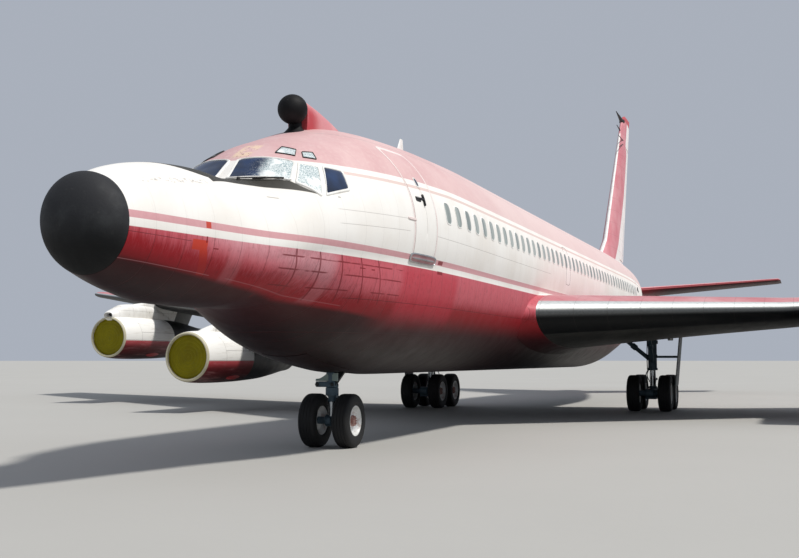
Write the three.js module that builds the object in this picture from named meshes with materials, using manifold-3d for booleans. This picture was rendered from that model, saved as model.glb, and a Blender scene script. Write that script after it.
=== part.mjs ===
// Narrow body airliner with four podded engines and a long test nose, parked on its gear, at 1:2 scale.
// Every length below is a full-size millimetre. The outer group scales the whole by modelScale.
// X runs to port, Y runs aft from the nose wheel axle and is called the station, Z runs up from the ground.
import * as THREE from 'three';
import { mergeVertices } from 'three/addons/utils/BufferGeometryUtils.js';
import Module from 'manifold-3d';

const wasm = await Module();
wasm.setup();

// Driving dimensions
const modelScale = 0.5;
const noseTip = -7260;
const tailEnd = 36950;
const seam = 0.6;            // between two pieces that are fastened together
const pinGap = 1;            // round a pin or axle
const hingeGap = 26;         // round a moving surface
const hingePin = 22;         // radius of the pins at both ends of a moving surface
const skinDepth = 70;        // doors and window band
const halfSpan = 19940;
const wheelBase = 15440;
const mainTrack = 3365;      // gear leg from the centre line
const noseHubHeight = 448;
const noseTyreRadius = 448;
const mainTyreRadius = 510;
const truckAxleHalf = 650;   // main axles ahead of and behind the leg
const engineSpans = { inboard: 8300, outboard: 14200 };

// Finishes as painted, each with its roughness and metalness
const finish = {
  white: { color: '#e4e2de', roughness: 0.45, metalness: 0.0 },
  fadedRed: { color: '#a33b45', roughness: 0.6, metalness: 0.0 },
  pink: { color: '#d88a8c', roughness: 0.6, metalness: 0.0 },
  blackRubber: { color: '#1b1c1e', roughness: 0.85, metalness: 0.0 },
  matteBlack: { color: '#2a2b2d', roughness: 0.7, metalness: 0.0 },
  glass: { color: '#27384a', roughness: 0.12, metalness: 0.0 },
  bareMetal: { color: '#b9bcc0', roughness: 0.3, metalness: 0.9 },
  gearGrey: { color: '#7f8a8e', roughness: 0.5, metalness: 0.3 },
  coverOlive: { color: '#77732f', roughness: 0.7, metalness: 0.0 },
};

const airliner = new THREE.Group();
airliner.name = 'narrow_body_airliner';
airliner.scale.setScalar(modelScale);
airliner.position.set(0, (-modelScale * (noseTip + tailEnd)) / 2, 0);

function addPiece(name, geometry, finishName) {
  const material = new THREE.MeshStandardMaterial(finish[finishName]);
  const mesh = new THREE.Mesh(geometry, material);
  mesh.name = name;
  airliner.add(mesh);
  return mesh;
}

// Solids: closed meshes that can be joined and cut
function toSolid(geometry) {
  const bare = geometry.clone();
  bare.deleteAttribute('normal');
  bare.deleteAttribute('uv');
  const merged = mergeVertices(bare, 1e-2);
  return new wasm.Manifold(new wasm.Mesh({
    numProp: 3,
    vertProperties: new Float32Array(merged.attributes.position.array),
    triVerts: new Uint32Array(merged.index.array),
  }));
}

function toGeometry(solid) {
  const mesh = solid.getMesh();
  const geometry = new THREE.BufferGeometry();
  geometry.setAttribute('position', new THREE.BufferAttribute(new Float32Array(mesh.vertProperties), 3));
  geometry.setIndex(new THREE.BufferAttribute(new Uint32Array(mesh.triVerts), 1));
  geometry.computeVertexNormals();
  return geometry;
}

// A loft joins rings of equal count and closes both ends with a fan. Rings are convex.
// The second half of each ring is split along the other diagonal, so that a mirrored ring gives a
// mirrored skin
function loft(rings) {
  const count = rings[0].length;
  const positions = rings.flat().flatMap((p) => [p.x, p.y, p.z]);
  const triangles = [];
  for (let i = 0; i + 1 < rings.length; i += 1) {
    for (let j = 0; j < count; j += 1) {
      const a = i * count + j;
      const b = i * count + ((j + 1) % count);
      if (j < count / 2) triangles.push(a, b, b + count, a, b + count, a + count);
      else triangles.push(a, b, a + count, b, b + count, a + count);
    }
  }
  const last = (rings.length - 1) * count;
  for (let j = 1; j + 1 < count; j += 1) {
    triangles.push(0, j + 1, j, last, last + j, last + j + 1);
  }
  if (signedVolume(positions, triangles) < 0) triangles.reverse();
  const geometry = new THREE.BufferGeometry();
  geometry.setAttribute('position', new THREE.Float32BufferAttribute(positions, 3));
  geometry.setIndex(triangles);
  geometry.computeVertexNormals();
  return geometry;
}

function signedVolume(positions, triangles) {
  const corner = (i) => new THREE.Vector3().fromArray(positions, 3 * i);
  let sum = 0;
  for (let t = 0; t < triangles.length; t += 3) {
    sum += corner(triangles[t]).dot(corner(triangles[t + 1]).cross(corner(triangles[t + 2])));
  }
  return sum / 6;
}

// A box from its low corner to its high corner
function block(low, high) {
  const size = high.map((v, i) => v - low[i]);
  const box = new THREE.BoxGeometry(...size);
  box.translate(...low.map((v, i) => v + size[i] / 2));
  return toSolid(box);
}

// A round bar between two points
function rod(from, to, radius, sides = 12, endRadius = radius) {
  const a = new THREE.Vector3(...from);
  const b = new THREE.Vector3(...to);
  const bar = new THREE.CylinderGeometry(endRadius, radius, a.distanceTo(b), sides);
  const way = b.clone().sub(a).normalize();
  const turn = new THREE.Quaternion().setFromUnitVectors(new THREE.Vector3(0, 1, 0), way);
  bar.applyQuaternion(turn);
  bar.translate(...a.add(b).multiplyScalar(0.5).toArray());
  return toSolid(bar);
}

// A side-view outline in [station, height] corners, spread over X from low to high
function sidePlate(outline, xLow, xHigh) {
  const shape = new THREE.Shape(outline.map(([s, z]) => new THREE.Vector2(s, z)));
  const plate = new THREE.ExtrudeGeometry(shape, { depth: xHigh - xLow, bevelEnabled: false });
  // The shape's x, y and depth become station, height and X.
  plate.applyMatrix4(new THREE.Matrix4().makeBasis(
    new THREE.Vector3(0, 1, 0), new THREE.Vector3(0, 0, 1), new THREE.Vector3(1, 0, 0)));
  plate.translate(xLow, 0, 0);
  return toSolid(plate);
}

function mirrored(solid) {
  return solid.mirror([1, 0, 0]);
}

function joined(solids) {
  return solids.reduce((sum, solid) => sum.add(solid));
}

// Fuselage: two lobes that meet in a crease under the cabin floor.
// In a full section the upper lobe is a half circle over the widest level and the lower lobe is an arc of
// its own. Lobe 1 is that section, lobe 0 is an ellipse, and values between them blend.
const lowerLobe = { centre: -0.2746, radiusX: 0.9457, radiusZ: 0.7254 };
const crease = { x: 0.9456, z: -0.2497 };
const upperAspect = 1880 / 2450;
const arcSteps = { lower: 8, upper: 9 };

function halfSection(lobe) {
  const points = [];
  const creaseRound = Math.atan2(crease.z, crease.x);
  const creaseLower = Math.asin((crease.z - lowerLobe.centre) / lowerLobe.radiusZ);
  const creaseUpper = Math.asin(crease.z / upperAspect);
  const blend = (round, full) => (1 - lobe) * round + lobe * full;
  for (let j = 0; j < arcSteps.lower; j += 1) {
    const t = j / arcSteps.lower;
    const full = -Math.PI / 2 + (creaseLower + Math.PI / 2) * t;
    const round = -Math.PI / 2 + (creaseRound + Math.PI / 2) * t;
    points.push([
      blend(Math.cos(round), lowerLobe.radiusX * Math.cos(full)),
      blend(Math.sin(round), lowerLobe.centre + lowerLobe.radiusZ * Math.sin(full)),
    ]);
  }
  for (let j = 0; j <= arcSteps.upper; j += 1) {
    const t = j / arcSteps.upper;
    const full = creaseUpper + (Math.PI / 2 - creaseUpper) * t;
    const round = creaseRound + (Math.PI / 2 - creaseRound) * t;
    const fullZ = Math.sin(full) < 0 ? Math.sin(full) * upperAspect : Math.sin(full);
    points.push([blend(Math.cos(round), Math.cos(full)), blend(Math.sin(round), fullZ)]);
  }
  return points;
}

function bodyRing([station, halfWidth, waist, top, bottom, lobe], grow = 0) {
  const half = halfSection(lobe).map(([u, v]) => new THREE.Vector3(
    u * (halfWidth + grow),
    station,
    waist + v * (v > 0 ? top + grow - waist : waist - bottom + grow)));
  const rising = half.slice(1, -1).reverse().map((p) => new THREE.Vector3(-p.x, p.y, p.z));
  return [...half, ...rising];
}

// station, half width, level of the widest point, top, bottom, lobe
const snoutStations = [
  [-6870, 555, 2975, 3550, 2400, 0.0],
  [-6500, 640, 2990, 3690, 2295, 0.0],
  [-6100, 710, 3000, 3790, 2212, 0.0],
  [-5600, 800, 3000, 3870, 2145, 0.0],
  [-5000, 910, 2980, 3910, 2140, 0.1],
  [-4450, 1040, 2950, 3885, 2142, 0.3],
];
const hullStations = [
  [-4450, 1040, 2950, 3885, 2142, 0.3],
  [-3950, 1200, 3050, 3920, 2160, 0.4],
  [-3400, 1370, 3200, 4340, 2125, 0.6],
  [-2750, 1510, 3300, 4680, 1885, 0.8],
  [-1900, 1650, 3420, 4940, 1530, 1.0],
  [-800, 1770, 3530, 5170, 1332, 1.0],
  [400, 1845, 3600, 5350, 1221, 1.0],
  [2000, 1880, 3650, 5490, 1200, 1.0],
  [4500, 1880, 3650, 5530, 1200, 1.0],
  [20500, 1880, 3650, 5530, 1200, 1.0],
  [23000, 1820, 3690, 5525, 1460, 1.0],
  [25500, 1650, 3790, 5510, 1920, 1.0],
  [28000, 1400, 3930, 5480, 2450, 1.0],
  [30500, 1100, 4090, 5410, 3010, 0.8],
  [33000, 740, 4280, 5270, 3560, 0.5],
  [34900, 400, 4440, 5020, 4030, 0.2],
];
const sectionJoints = [6500, 20500];

function bodySolid(stations, grow = 0) {
  return toSolid(loft(stations.map((row) => bodyRing(row, grow))));
}

const hull = bodySolid(hullStations);
const hullGrown = bodySolid(hullStations, seam);
const hullInner = bodySolid(hullStations, -skinDepth);
const hullCore = bodySolid(hullStations, -skinDepth - seam);

// A panel let into the skin, as thick as skinDepth, and the pocket that takes it
function skinPanel(outline, xLow, xHigh) {
  const centre = new THREE.Vector2();
  outline.forEach(([s, z]) => centre.add(new THREE.Vector2(s, z)));
  centre.multiplyScalar(1 / outline.length);
  const wider = outline.map(([s, z]) => [
    s + seam * Math.sign(s - centre.x),
    z + seam * Math.sign(z - centre.y),
  ]);
  const panel = sidePlate(outline, xLow, xHigh).intersect(hull).subtract(hullInner);
  const pocket = sidePlate(wider, xLow - seam, xHigh + seam).subtract(hullCore);
  return { panel, pocket };
}

// Doors: plugs that are wider than their frame. Columns: name, side, fore edge, sill, width, height
const doors = [
  ['door_forward_left', 1, -800, 3040, 864, 1800],
  ['door_aft_left', 1, 24300, 3080, 864, 1760],
  ['door_forward_right', -1, -700, 3080, 760, 1380],
  ['door_aft_right', -1, 24350, 3100, 720, 1300],
];
const doorInside = 900;      // every door stays outboard of this
const doorOutside = 2400;
const doorCorner = 90;

// The flight deck windows are one band round the nose, in side view from the centre post aft
const windowBandOutline = [
  [-4300, 3975], [-3220, 3735], [-2590, 3890], [-2430, 4240], [-3350, 4350], [-4300, 4350],
];
const windowBandHalfWidth = 2000;

const pockets = [];
const band = skinPanel(windowBandOutline, -windowBandHalfWidth, windowBandHalfWidth);
pockets.push(band.pocket);
for (const [name, side, fore, sill, width, height] of doors) {
  const aft = fore + width;
  const head = sill + height;
  const outline = [
    [fore + doorCorner, sill], [aft - doorCorner, sill], [aft, sill + doorCorner], [aft, head - doorCorner],
    [aft - doorCorner, head], [fore + doorCorner, head], [fore, head - doorCorner], [fore, sill + doorCorner],
  ];
  const low = side > 0 ? doorInside : -doorOutside;
  const { panel, pocket } = skinPanel(outline, low, low + doorOutside - doorInside);
  pockets.push(pocket);
  addPiece(name, toGeometry(panel), 'white');
}
addPiece('cockpit_window_band', toGeometry(band.panel), 'glass');

// Wings and stabilisers: a symmetrical section whose thickness follows the four-digit formula
const noseRoundness = [0.2969, -0.126, -0.3516, 0.2843, -0.1015];
const sectionSteps = 11;
const noseShare = 0.02;      // share of the chord that counts as the nose

function halfThickness(x, ratio) {
  const [a, b, c, d, e] = noseRoundness;
  return 5 * ratio * (a * Math.sqrt(x) + b * x + c * x ** 2 + d * x ** 3 + e * x ** 4);
}

// The ring of one section in chord fractions: [along, off the chord line]
function foilOutline(ratio) {
  const steps = Array.from({ length: sectionSteps + 1 }, (_, i) => (Math.PI * i) / sectionSteps);
  const along = steps.map((angle) => 0.5 - 0.5 * Math.cos(angle));
  const upper = along.map((x) => [x, halfThickness(x, ratio)]);
  const lower = along.slice(1).reverse().map((x) => [x, -halfThickness(x, ratio)]);
  return [...upper, ...lower];
}

// span, leading and trailing edge station, leading edge height, thickness ratio, incidence in degrees
const wingStations = [
  [800, 5890, 16765, 2450, 0.12, 2.6],
  [7000, 11104, 17540, 2670, 0.117, 0.6],
  [8300, 12197, 18200, 2760, 0.112, 0.5],
  [19700, 21095, 24000, 4112, 0.092, 0],
  [halfSpan, 21500, 24122, 4140, 0.06, 0],
];
const stabiliserStations = [
  [250, 29950, 34150, 4290, 0.1, 0],
  [6480, 34350, 36780, 4950, 0.09, 0],
  [6605, 34700, tailEnd, 4962, 0.06, 0],
];

// A point in a lifting surface: fraction of chord, and height above the chord line
function surfaceFrame(stations) {
  const at = (span) => {
    const last = stations.length - 1;
    const upper = Math.max(1, stations.findIndex((row, i) => i > 0 && (span <= row[0] || i === last)));
    const [low, high] = [stations[upper - 1], stations[upper]];
    const t = (span - low[0]) / (high[0] - low[0]);
    return low.map((value, i) => THREE.MathUtils.lerp(value, high[i], t));
  };
  const point = (span, fraction, off = 0) => {
    const [, lead, trail, height, , incidence] = at(span);
    const chord = trail - lead;
    const fall = Math.sin(THREE.MathUtils.degToRad(incidence)) * fraction * chord;
    return new THREE.Vector3(span, lead + fraction * chord, height - fall + off);
  };
  const thickness = (span, fraction) => {
    const [, lead, trail, , ratio] = at(span);
    return halfThickness(fraction, ratio) * (trail - lead);
  };
  return { at, point, thickness };
}

function foilSolid(stations, grow = 0) {
  const frame = surfaceFrame(stations);
  const rings = stations.map(([span, lead, trail, , ratio]) => foilOutline(ratio).map(([x, off]) => {
    const sign = Math.sign(off) || (x < 0.5 ? 0 : 1);
    const p = frame.point(span, x, off * (trail - lead) + sign * grow);
    if (x < noseShare) p.y -= grow;
    return p;
  }));
  return toSolid(loft(rings));
}

// A trailing surface with a half round nose on its hinge line. Its ends are square to the hinge, and it turns
// in the slot with hingeGap all round, carried by a pin at each end.
const slotReach = 900;
const noseSides = 5;
const noseFit = 0.94;        // nose radius as a share of the section's half thickness on the hinge line
const edgeFit = 0.6;         // the same for the trailing edge

function trailingSurface(frame, [inner, innerFraction], [outer, outerFraction]) {
  const hinge = [frame.point(inner, innerFraction), frame.point(outer, outerFraction)];
  const trail = [frame.point(inner, 1), frame.point(outer, 1)];
  const radius = [frame.thickness(inner, innerFraction), frame.thickness(outer, outerFraction)];
  const along = hinge[1].clone().sub(hinge[0]);
  const length = along.length();
  along.normalize();
  const trailAlong = trail[1].clone().sub(trail[0]);
  const edge = [edgeFit * frame.thickness(inner, 1), edgeFit * frame.thickness(outer, 1)];
  const sectionAt = (distance) => {
    const t = distance / length;
    const pivot = hinge[0].clone().addScaledVector(along, distance);
    const u = pivot.clone().sub(trail[0]).dot(along) / trailAlong.dot(along);
    const tip = trail[0].clone().addScaledVector(trailAlong, u);
    const back = tip.clone().sub(pivot);
    const chord = back.length();
    back.normalize();
    const up = new THREE.Vector3().crossVectors(along, back).normalize();
    if (up.z < 0) up.negate();
    return { pivot, back, up, chord, r: THREE.MathUtils.lerp(radius[0], radius[1], t) * noseFit, t };
  };
  const place = (s, x, z) => s.pivot.clone().addScaledVector(s.back, x).addScaledVector(s.up, z);
  const surfaceRing = (distance) => {
    const s = sectionAt(distance);
    const tail = THREE.MathUtils.lerp(edge[0], edge[1], s.t);
    const ring = [place(s, s.chord, tail)];
    for (let i = 0; i <= noseSides; i += 1) {
      const angle = Math.PI / 2 + (Math.PI * i) / noseSides;
      ring.push(place(s, s.r * Math.cos(angle), s.r * Math.sin(angle)));
    }
    ring.push(place(s, s.chord, -tail));
    return ring;
  };
  const slotRing = (distance) => {
    const s = sectionAt(distance);
    const front = -s.r - hingeGap;
    const back = s.chord + slotReach;
    const corners = [[back, slotReach], [front, slotReach], [front, -slotReach], [back, -slotReach]];
    return corners.map(([aft, off]) => place(s, aft, off));
  };
  const pinReach = hingeGap - seam;
  const pin = rod(
    hinge[0].clone().addScaledVector(along, -pinReach).toArray(),
    hinge[1].clone().addScaledVector(along, pinReach).toArray(), hingePin, 8);
  return {
    surface: toSolid(loft([surfaceRing(0), surfaceRing(length)])).add(pin),
    slot: toSolid(loft([slotRing(-hingeGap), slotRing(length + hingeGap)])),
  };
}

// name, inner span and hinge fraction of chord, outer span and hinge fraction, finish
const wingSurfaces = [
  ['flap_inboard', [2350, 0.875], [6600, 0.8], 'white'],
  ['aileron_inboard', [7150, 0.78], [8700, 0.77], 'white'],
  ['flap_outboard', [8900, 0.77], [13900, 0.75], 'white'],
  ['aileron_outboard', [14500, 0.75], [18700, 0.73], 'white'],
];
const tailSurfaces = [['elevator', [1250, 0.7], [6250, 0.66], 'fadedRed']];

function liftingSurface(name, stations, moving, mainFinish, fittings = []) {
  const frame = surfaceFrame(stations);
  let panel = joined([foilSolid(stations), ...fittings]).subtract(hullGrown);
  for (const [surfaceName, inner, outer, surfaceFinish] of moving) {
    const { surface, slot } = trailingSurface(frame, inner, outer);
    panel = panel.subtract(slot);
    addPiece(`${surfaceName}_left`, toGeometry(surface), surfaceFinish);
    addPiece(`${surfaceName}_right`, toGeometry(mirrored(surface)), surfaceFinish);
  }
  addPiece(`${name}_left`, toGeometry(panel), mainFinish);
  addPiece(`${name}_right`, toGeometry(mirrored(panel)), mainFinish);
}

// Jacking pads are flat discs that stand just proud of the skin. Columns: X, station, underside, top
const jackPads = { wing: [4200, 12500, 1955, 2250], nose: [0, 1900, 1178, 1300] };
const padRadius = 70;

function jackPad([x, station, underside, top]) {
  return rod([x, station, underside], [x, station, top], padRadius, 12);
}

liftingSurface('wing', wingStations, wingSurfaces, 'bareMetal', [jackPad(jackPads.wing)]);
liftingSurface('stabiliser', stabiliserStations, tailSurfaces, 'fadedRed');

// Fin: height, leading edge station, trailing edge station, thickness ratio
const finStations = [
  [5100, 25300, 32290, 0.075],
  [5620, 26600, 32490, 0.085],
  [6310, 27830, 32750, 0.1],
  [12150, 32620, 34990, 0.09],
  [12480, 33150, 35110, 0.075],
  [12620, 33750, 35160, 0.04],
];
const rudder = { low: 5760, high: 11000, lowFraction: 0.67, highFraction: 0.66, endGap: 80 };

function finAt(height) {
  const upper = finStations.findIndex((row, i) => i > 0 && height <= row[0]);
  const [low, high] = [finStations[upper - 1], finStations[upper]];
  const t = (height - low[0]) / (high[0] - low[0]);
  return low.map((value, i) => THREE.MathUtils.lerp(value, high[i], t));
}

function finRing([height, lead, trail, ratio]) {
  const chord = trail - lead;
  return foilOutline(ratio).map(([x, off]) => new THREE.Vector3(off * chord, lead + x * chord, height));
}

function rudderRing(height, fraction) {
  const [, lead, trail, ratio] = finAt(height);
  const chord = trail - lead;
  const pivot = lead + fraction * chord;
  const radius = noseFit * halfThickness(fraction, ratio) * chord;
  const tail = edgeFit * halfThickness(1, ratio) * chord;
  const ring = [new THREE.Vector3(tail, trail, height)];
  for (let i = 0; i <= noseSides; i += 1) {
    const angle = Math.PI / 2 + (Math.PI * i) / noseSides;
    ring.push(new THREE.Vector3(radius * Math.sin(angle), pivot + radius * Math.cos(angle), height));
  }
  ring.push(new THREE.Vector3(-tail, trail, height));
  return ring;
}

function rudderSlotRing(height, fraction) {
  const [, lead, trail, ratio] = finAt(height);
  const chord = trail - lead;
  const front = lead + fraction * chord - halfThickness(fraction, ratio) * chord - hingeGap;
  const back = trail + slotReach;
  return [[slotReach, back], [slotReach, front], [-slotReach, front], [-slotReach, back]]
    .map(([x, y]) => new THREE.Vector3(x, y, height));
}

const rudderSlot = toSolid(loft([
  rudderSlotRing(rudder.low - rudder.endGap, rudder.lowFraction),
  rudderSlotRing(rudder.high + rudder.endGap, rudder.highFraction),
]));
// Forward-pointing probes on the fin's nose, and a forked aerial on each of its sides
const finProbes = [
  { root: [0, 32760, 12180], tip: [0, 30840, 12270], radius: 55, tipRadius: 14 },
  { root: [0, 32480, 11655], tip: [0, 31110, 11690], radius: 26, tipRadius: 14 },
];
const finForks = [
  { root: [60, 33400, 11320], tip: [230, 31660, 11360], radius: 24, tipRadius: 16 },
  { root: [60, 33400, 11320], tip: [230, 32180, 10940], radius: 24, tipRadius: 16 },
];
const finAerials = finProbes.map((bar) => rod(bar.root, bar.tip, bar.radius, 8, bar.tipRadius));
for (const bar of finForks) {
  for (const side of [1, -1]) {
    const onSide = ([x, y, z]) => [side * x, y, z];
    finAerials.push(rod(onSide(bar.root), onSide(bar.tip), bar.radius, 6, bar.tipRadius));
  }
}
const finSolid = joined([toSolid(loft(finStations.map(finRing))), ...finAerials]);
addPiece('fin', toGeometry(finSolid.subtract(hullGrown).subtract(rudderSlot)), 'pink');

// The rudder's hinge line leans aft, so its pins stop short of the level ends of the slot by their own corner
function rudderPin() {
  const onHinge = (height, fraction) => {
    const [, lead, trail] = finAt(height);
    return new THREE.Vector3(0, lead + fraction * (trail - lead), height);
  };
  const low = onHinge(rudder.low, rudder.lowFraction);
  const high = onHinge(rudder.high, rudder.highFraction);
  const along = high.clone().sub(low).normalize();
  const reach = (rudder.endGap - seam - hingePin * along.y) / along.z;
  const foot = low.addScaledVector(along, -reach).toArray();
  const head = high.addScaledVector(along, reach).toArray();
  return rod(foot, head, hingePin, 8);
}

addPiece('rudder', toGeometry(toSolid(loft([
  rudderRing(rudder.low, rudder.lowFraction),
  rudderRing(rudder.high, rudder.highFraction),
])).add(rudderPin())), 'white');

// Nose: the long test snout, its dome, and the ball housing on the flight deck roof
const dome = { ring: -6870, level: 2975, halfWidth: 552, halfHeight: 572, steps: 8, sides: 28 };
const domeProfile = Array.from({ length: dome.steps + 1 }, (_, i) => {
  const angle = (Math.PI / 2) * (i / dome.steps);
  return new THREE.Vector2(dome.halfWidth * Math.sin(angle), -(dome.ring - noseTip) * Math.cos(angle));
});
domeProfile[0].x = 0;
domeProfile.push(new THREE.Vector2(0, 0));
const domeCap = new THREE.LatheGeometry(domeProfile, dome.sides);
domeCap.scale(1, 1, dome.halfHeight / dome.halfWidth);
domeCap.translate(0, dome.ring, dome.level);
addPiece('nose_dome', toGeometry(outward(domeCap)), 'matteBlack');
addPiece('nose_fairing', loft(snoutStations.map((row) => bodyRing(row))), 'white');

// A turned shape may come out with its faces pointing in
function outward(geometry) {
  const merged = geometry.clone();
  merged.deleteAttribute('normal');
  merged.deleteAttribute('uv');
  const closed = mergeVertices(merged, 1e-2);
  const triangles = Array.from(closed.index.array);
  if (signedVolume(closed.attributes.position.array, triangles) < 0) triangles.reverse();
  closed.setIndex(triangles);
  return toSolid(closed);
}

// Turned about the Y axis, which is the axis of the engines
function turnedAlongY(profile, sides) {
  return outward(new THREE.LatheGeometry(profile.map(([r, y]) => new THREE.Vector2(r, y)), sides));
}

// The same about the X axis, which is the axis of the wheels, with a flat of the ring downwards
function turnedAlongX(profile, sides) {
  const flatRadius = 1 / Math.cos(Math.PI / sides);
  const lathe = new THREE.LatheGeometry(profile.map(([r, x]) => new THREE.Vector2(r * flatRadius, x)), sides);
  lathe.rotateY(Math.PI / sides);
  lathe.rotateZ(-Math.PI / 2);
  return outward(lathe);
}

const ball = {
  station: -1610, height: 5385, radius: 236, neckRadius: 92, footRadius: 200, foot: 4890, shoulder: 5060,
};
const ballSphere = new THREE.SphereGeometry(ball.radius, 16, 10);
ballSphere.rotateX(Math.PI / 2);
ballSphere.translate(0, ball.station, ball.height);
function ballNeck(grow) {
  const [foot, shoulder, centre] = [ball.foot, ball.shoulder, ball.height].map((z) => [0, ball.station, z]);
  return rod(foot, shoulder, ball.footRadius + grow, 14, ball.neckRadius + grow)
    .add(rod(shoulder, centre, ball.neckRadius + grow, 14));
}
addPiece('roof_ball', toGeometry(toSolid(ballSphere).add(ballNeck(0)).subtract(hullGrown)), 'matteBlack');

// station, half width, level of the widest point, top, bottom, lobe
const ballFairingStations = [
  [-1480, 205, 5330, 5590, 4600, 0.0],
  [-900, 190, 5200, 5560, 4600, 0.0],
  [-300, 150, 5100, 5510, 4700, 0.0],
  [500, 60, 5100, 5410, 4900, 0.0],
];
const ballRoom = new THREE.SphereGeometry(ball.radius + 2 * seam, 16, 10);
ballRoom.rotateX(Math.PI / 2);
ballRoom.translate(0, ball.station, ball.height);
addPiece('roof_ball_fairing', toGeometry(bodySolid(ballFairingStations)
  .subtract(hullGrown).subtract(ballNeck(seam)).subtract(toSolid(ballRoom))), 'pink');

// Blade aerial behind the flight deck
const blade = {
  fore: 3080, aft: 3560, foreTop: 3330, aftTop: 3480, foot: 5400, top: 5850, halfThickness: 22,
};
addPiece('blade_aerial', toGeometry(sidePlate([
  [blade.fore, blade.foot], [blade.aft, blade.foot], [blade.aftTop, blade.top], [blade.foreTop, blade.top],
], -blade.halfThickness, blade.halfThickness).subtract(hullGrown)), 'white');

// Engines: a pod with its turned cowl, nozzle and intake cover, hung from a pylon.
// Profile columns: radius, distance aft of the intake lip
const podSides = 24;
const coverSeat = 190;
const podProfile = [
  [0, coverSeat], [590, coverSeat], [600, 60], [636, 0], [672, 40], [712, 420], [728, 1300], [715, 2500],
  [655, 3900], [560, 4800], [455, 5600], [415, 6000], [375, 5990], [350, 5500], [170, 5450], [0, 6150],
];
// The outside of the pod without its openings, a seam larger and closed square at both ends
const podEnds = { front: -10, frontRadius: 660, back: 6200, firstOuter: 4, lastOuter: 12 };
const podEnvelope = [
  [0, podEnds.front], [podEnds.frontRadius, podEnds.front],
  ...podProfile.slice(podEnds.firstOuter, podEnds.lastOuter).map(([r, y]) => [r + seam, y]),
  [0, podEnds.back],
];
const coverProfile = [[0, 110], [180, 92], [400, 108], [585, 85], [585, coverSeat], [0, coverSeat]];
const blister = { from: 2300, to: 3150, drop: 560, rise: 30, radius: 115, endRadius: 69, side: 400 };
const podHeights = { inboard: 1530, outboard: 2200 };
const intakeStations = { inboard: 9210, outboard: 14090 };
// Side view of each pylon from the intake lip and the engine axis: [aft, up]
const pylonOutlines = {
  inboard: [
    [600, 500], [700, 735], [1180, 860], [2850, 1250], [4500, 1350], [6500, 1300], [6500, 880], [5200, 400],
  ],
  outboard: [
    [20, 550], [20, 830], [830, 1080], [2600, 1290], [3800, 1400], [5500, 1300], [5500, 1050], [5000, 400],
  ],
};
const pylonHalfWidth = { inboard: 150, outboard: 150 };
const compressorHump = {
  half: 270,
  outline: [[10, 560], [10, 815], [800, 1120], [2500, 1120], [4200, 620]],
};
const wingGrown = foilSolid(wingStations, seam);

for (const where of ['outboard', 'inboard']) {
  const span = engineSpans[where];
  const lip = intakeStations[where];
  const axis = podHeights[where];
  const shift = (outline) => outline.map(([y, z]) => [lip + y, axis + z]);
  const pod = turnedAlongY(podProfile, podSides).translate([span, lip, axis]);
  const podGrown = turnedAlongY(podEnvelope, podSides).translate([span, lip, axis]);
  const bump = rod(
    [span - blister.side, lip + blister.from, axis - blister.drop],
    [span - blister.side, lip + blister.to, axis - blister.drop + blister.rise],
    blister.radius, 10, blister.endRadius);
  const half = pylonHalfWidth[where];
  let pylon = sidePlate(shift(pylonOutlines[where]), span - half, span + half);
  if (where === 'outboard') {
    const { half: humpHalf, outline } = compressorHump;
    pylon = pylon.add(sidePlate(shift(outline), span - humpHalf, span + humpHalf));
  }
  pylon = pylon.subtract(wingGrown).subtract(podGrown);
  // Only the piece under the wing is kept
  pylon = pylon.decompose().reduce((best, piece) => (piece.volume() > best.volume() ? piece : best));
  const pieces = [
    [`engine_pod_${where}`, pod.add(bump), 'white'],
    [
      `intake_cover_${where}`,
      turnedAlongY(coverProfile, podSides).translate([span, lip - seam, axis]),
      'coverOlive',
    ],
    [`pylon_${where}`, pylon, 'white'],
  ];
  for (const [name, solid, finishName] of pieces) {
    addPiece(`${name}_left`, toGeometry(solid), finishName);
    addPiece(`${name}_right`, toGeometry(mirrored(solid)), finishName);
  }
}

// Wheels: a twin set turned as one body, from the axle's middle out to the hub.
// Profile rows are [radius, offset] as shares of the tyre's radius and half width.
const axleWaist = 0.4;       // where the axle meets the inside of the hub, as a share of half width
const tyreSection = [
  [0.53, -0.78], [0.68, -1.0], [0.9, -0.92], [1.0, -0.5], [1.0, 0.5], [0.9, 0.92], [0.68, 1.0], [0.53, 0.78],
];
const hubSection = [[0.46, 0.6], [0.2, 0.36], [0.0, 0.6]];
const wheelSides = 20;

function twinWheels({ radius, halfWidth, halfTrack, axleRadius }) {
  const side = [[axleRadius, halfTrack - axleWaist * halfWidth]];
  for (const [r, x] of [...tyreSection, ...hubSection]) side.push([r * radius, halfTrack + x * halfWidth]);
  const other = side.slice().reverse().map(([r, x]) => [r, -x]);
  return turnedAlongX([...other, ...side], wheelSides);
}

// The hole that an axle turns in, with pinGap between the corners of the axle and the flats of the hole
const holeSides = 16;
const holeHalf = 300;

function axleHole([x, y, z], { axleRadius }) {
  const corner = axleRadius / Math.cos(Math.PI / wheelSides);
  const radius = (corner + pinGap) / Math.cos(Math.PI / holeSides);
  return rod([x - holeHalf, y, z], [x + holeHalf, y, z], radius, holeSides);
}

const noseWheels = { radius: noseTyreRadius, halfWidth: 150, halfTrack: 300, axleRadius: 62 };
const mainWheels = { radius: mainTyreRadius, halfWidth: 178, halfTrack: 430, axleRadius: 75 };
addPiece('nose_wheels', toGeometry(twinWheels(noseWheels).translate([0, 0, noseHubHeight])), 'blackRubber');

// Nose leg: the fixed cylinder in the wheel bay, and the steered strut with its axle barrel.
// The bay reaches forward under closed doors, and is open round the leg and its drag brace.
const bay = { fore: -1850, doorEnd: -150, aft: 1250, halfWidth: 380, slotHalf: 230, roof: 2050, floor: 900 };
const collar = 1000;         // height where the steered strut starts
const noseCylinderRadius = 92;
const nosePistonRadius = 68;
const towLug = { half: 45, front: -185, low: 400, high: 500 };

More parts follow.
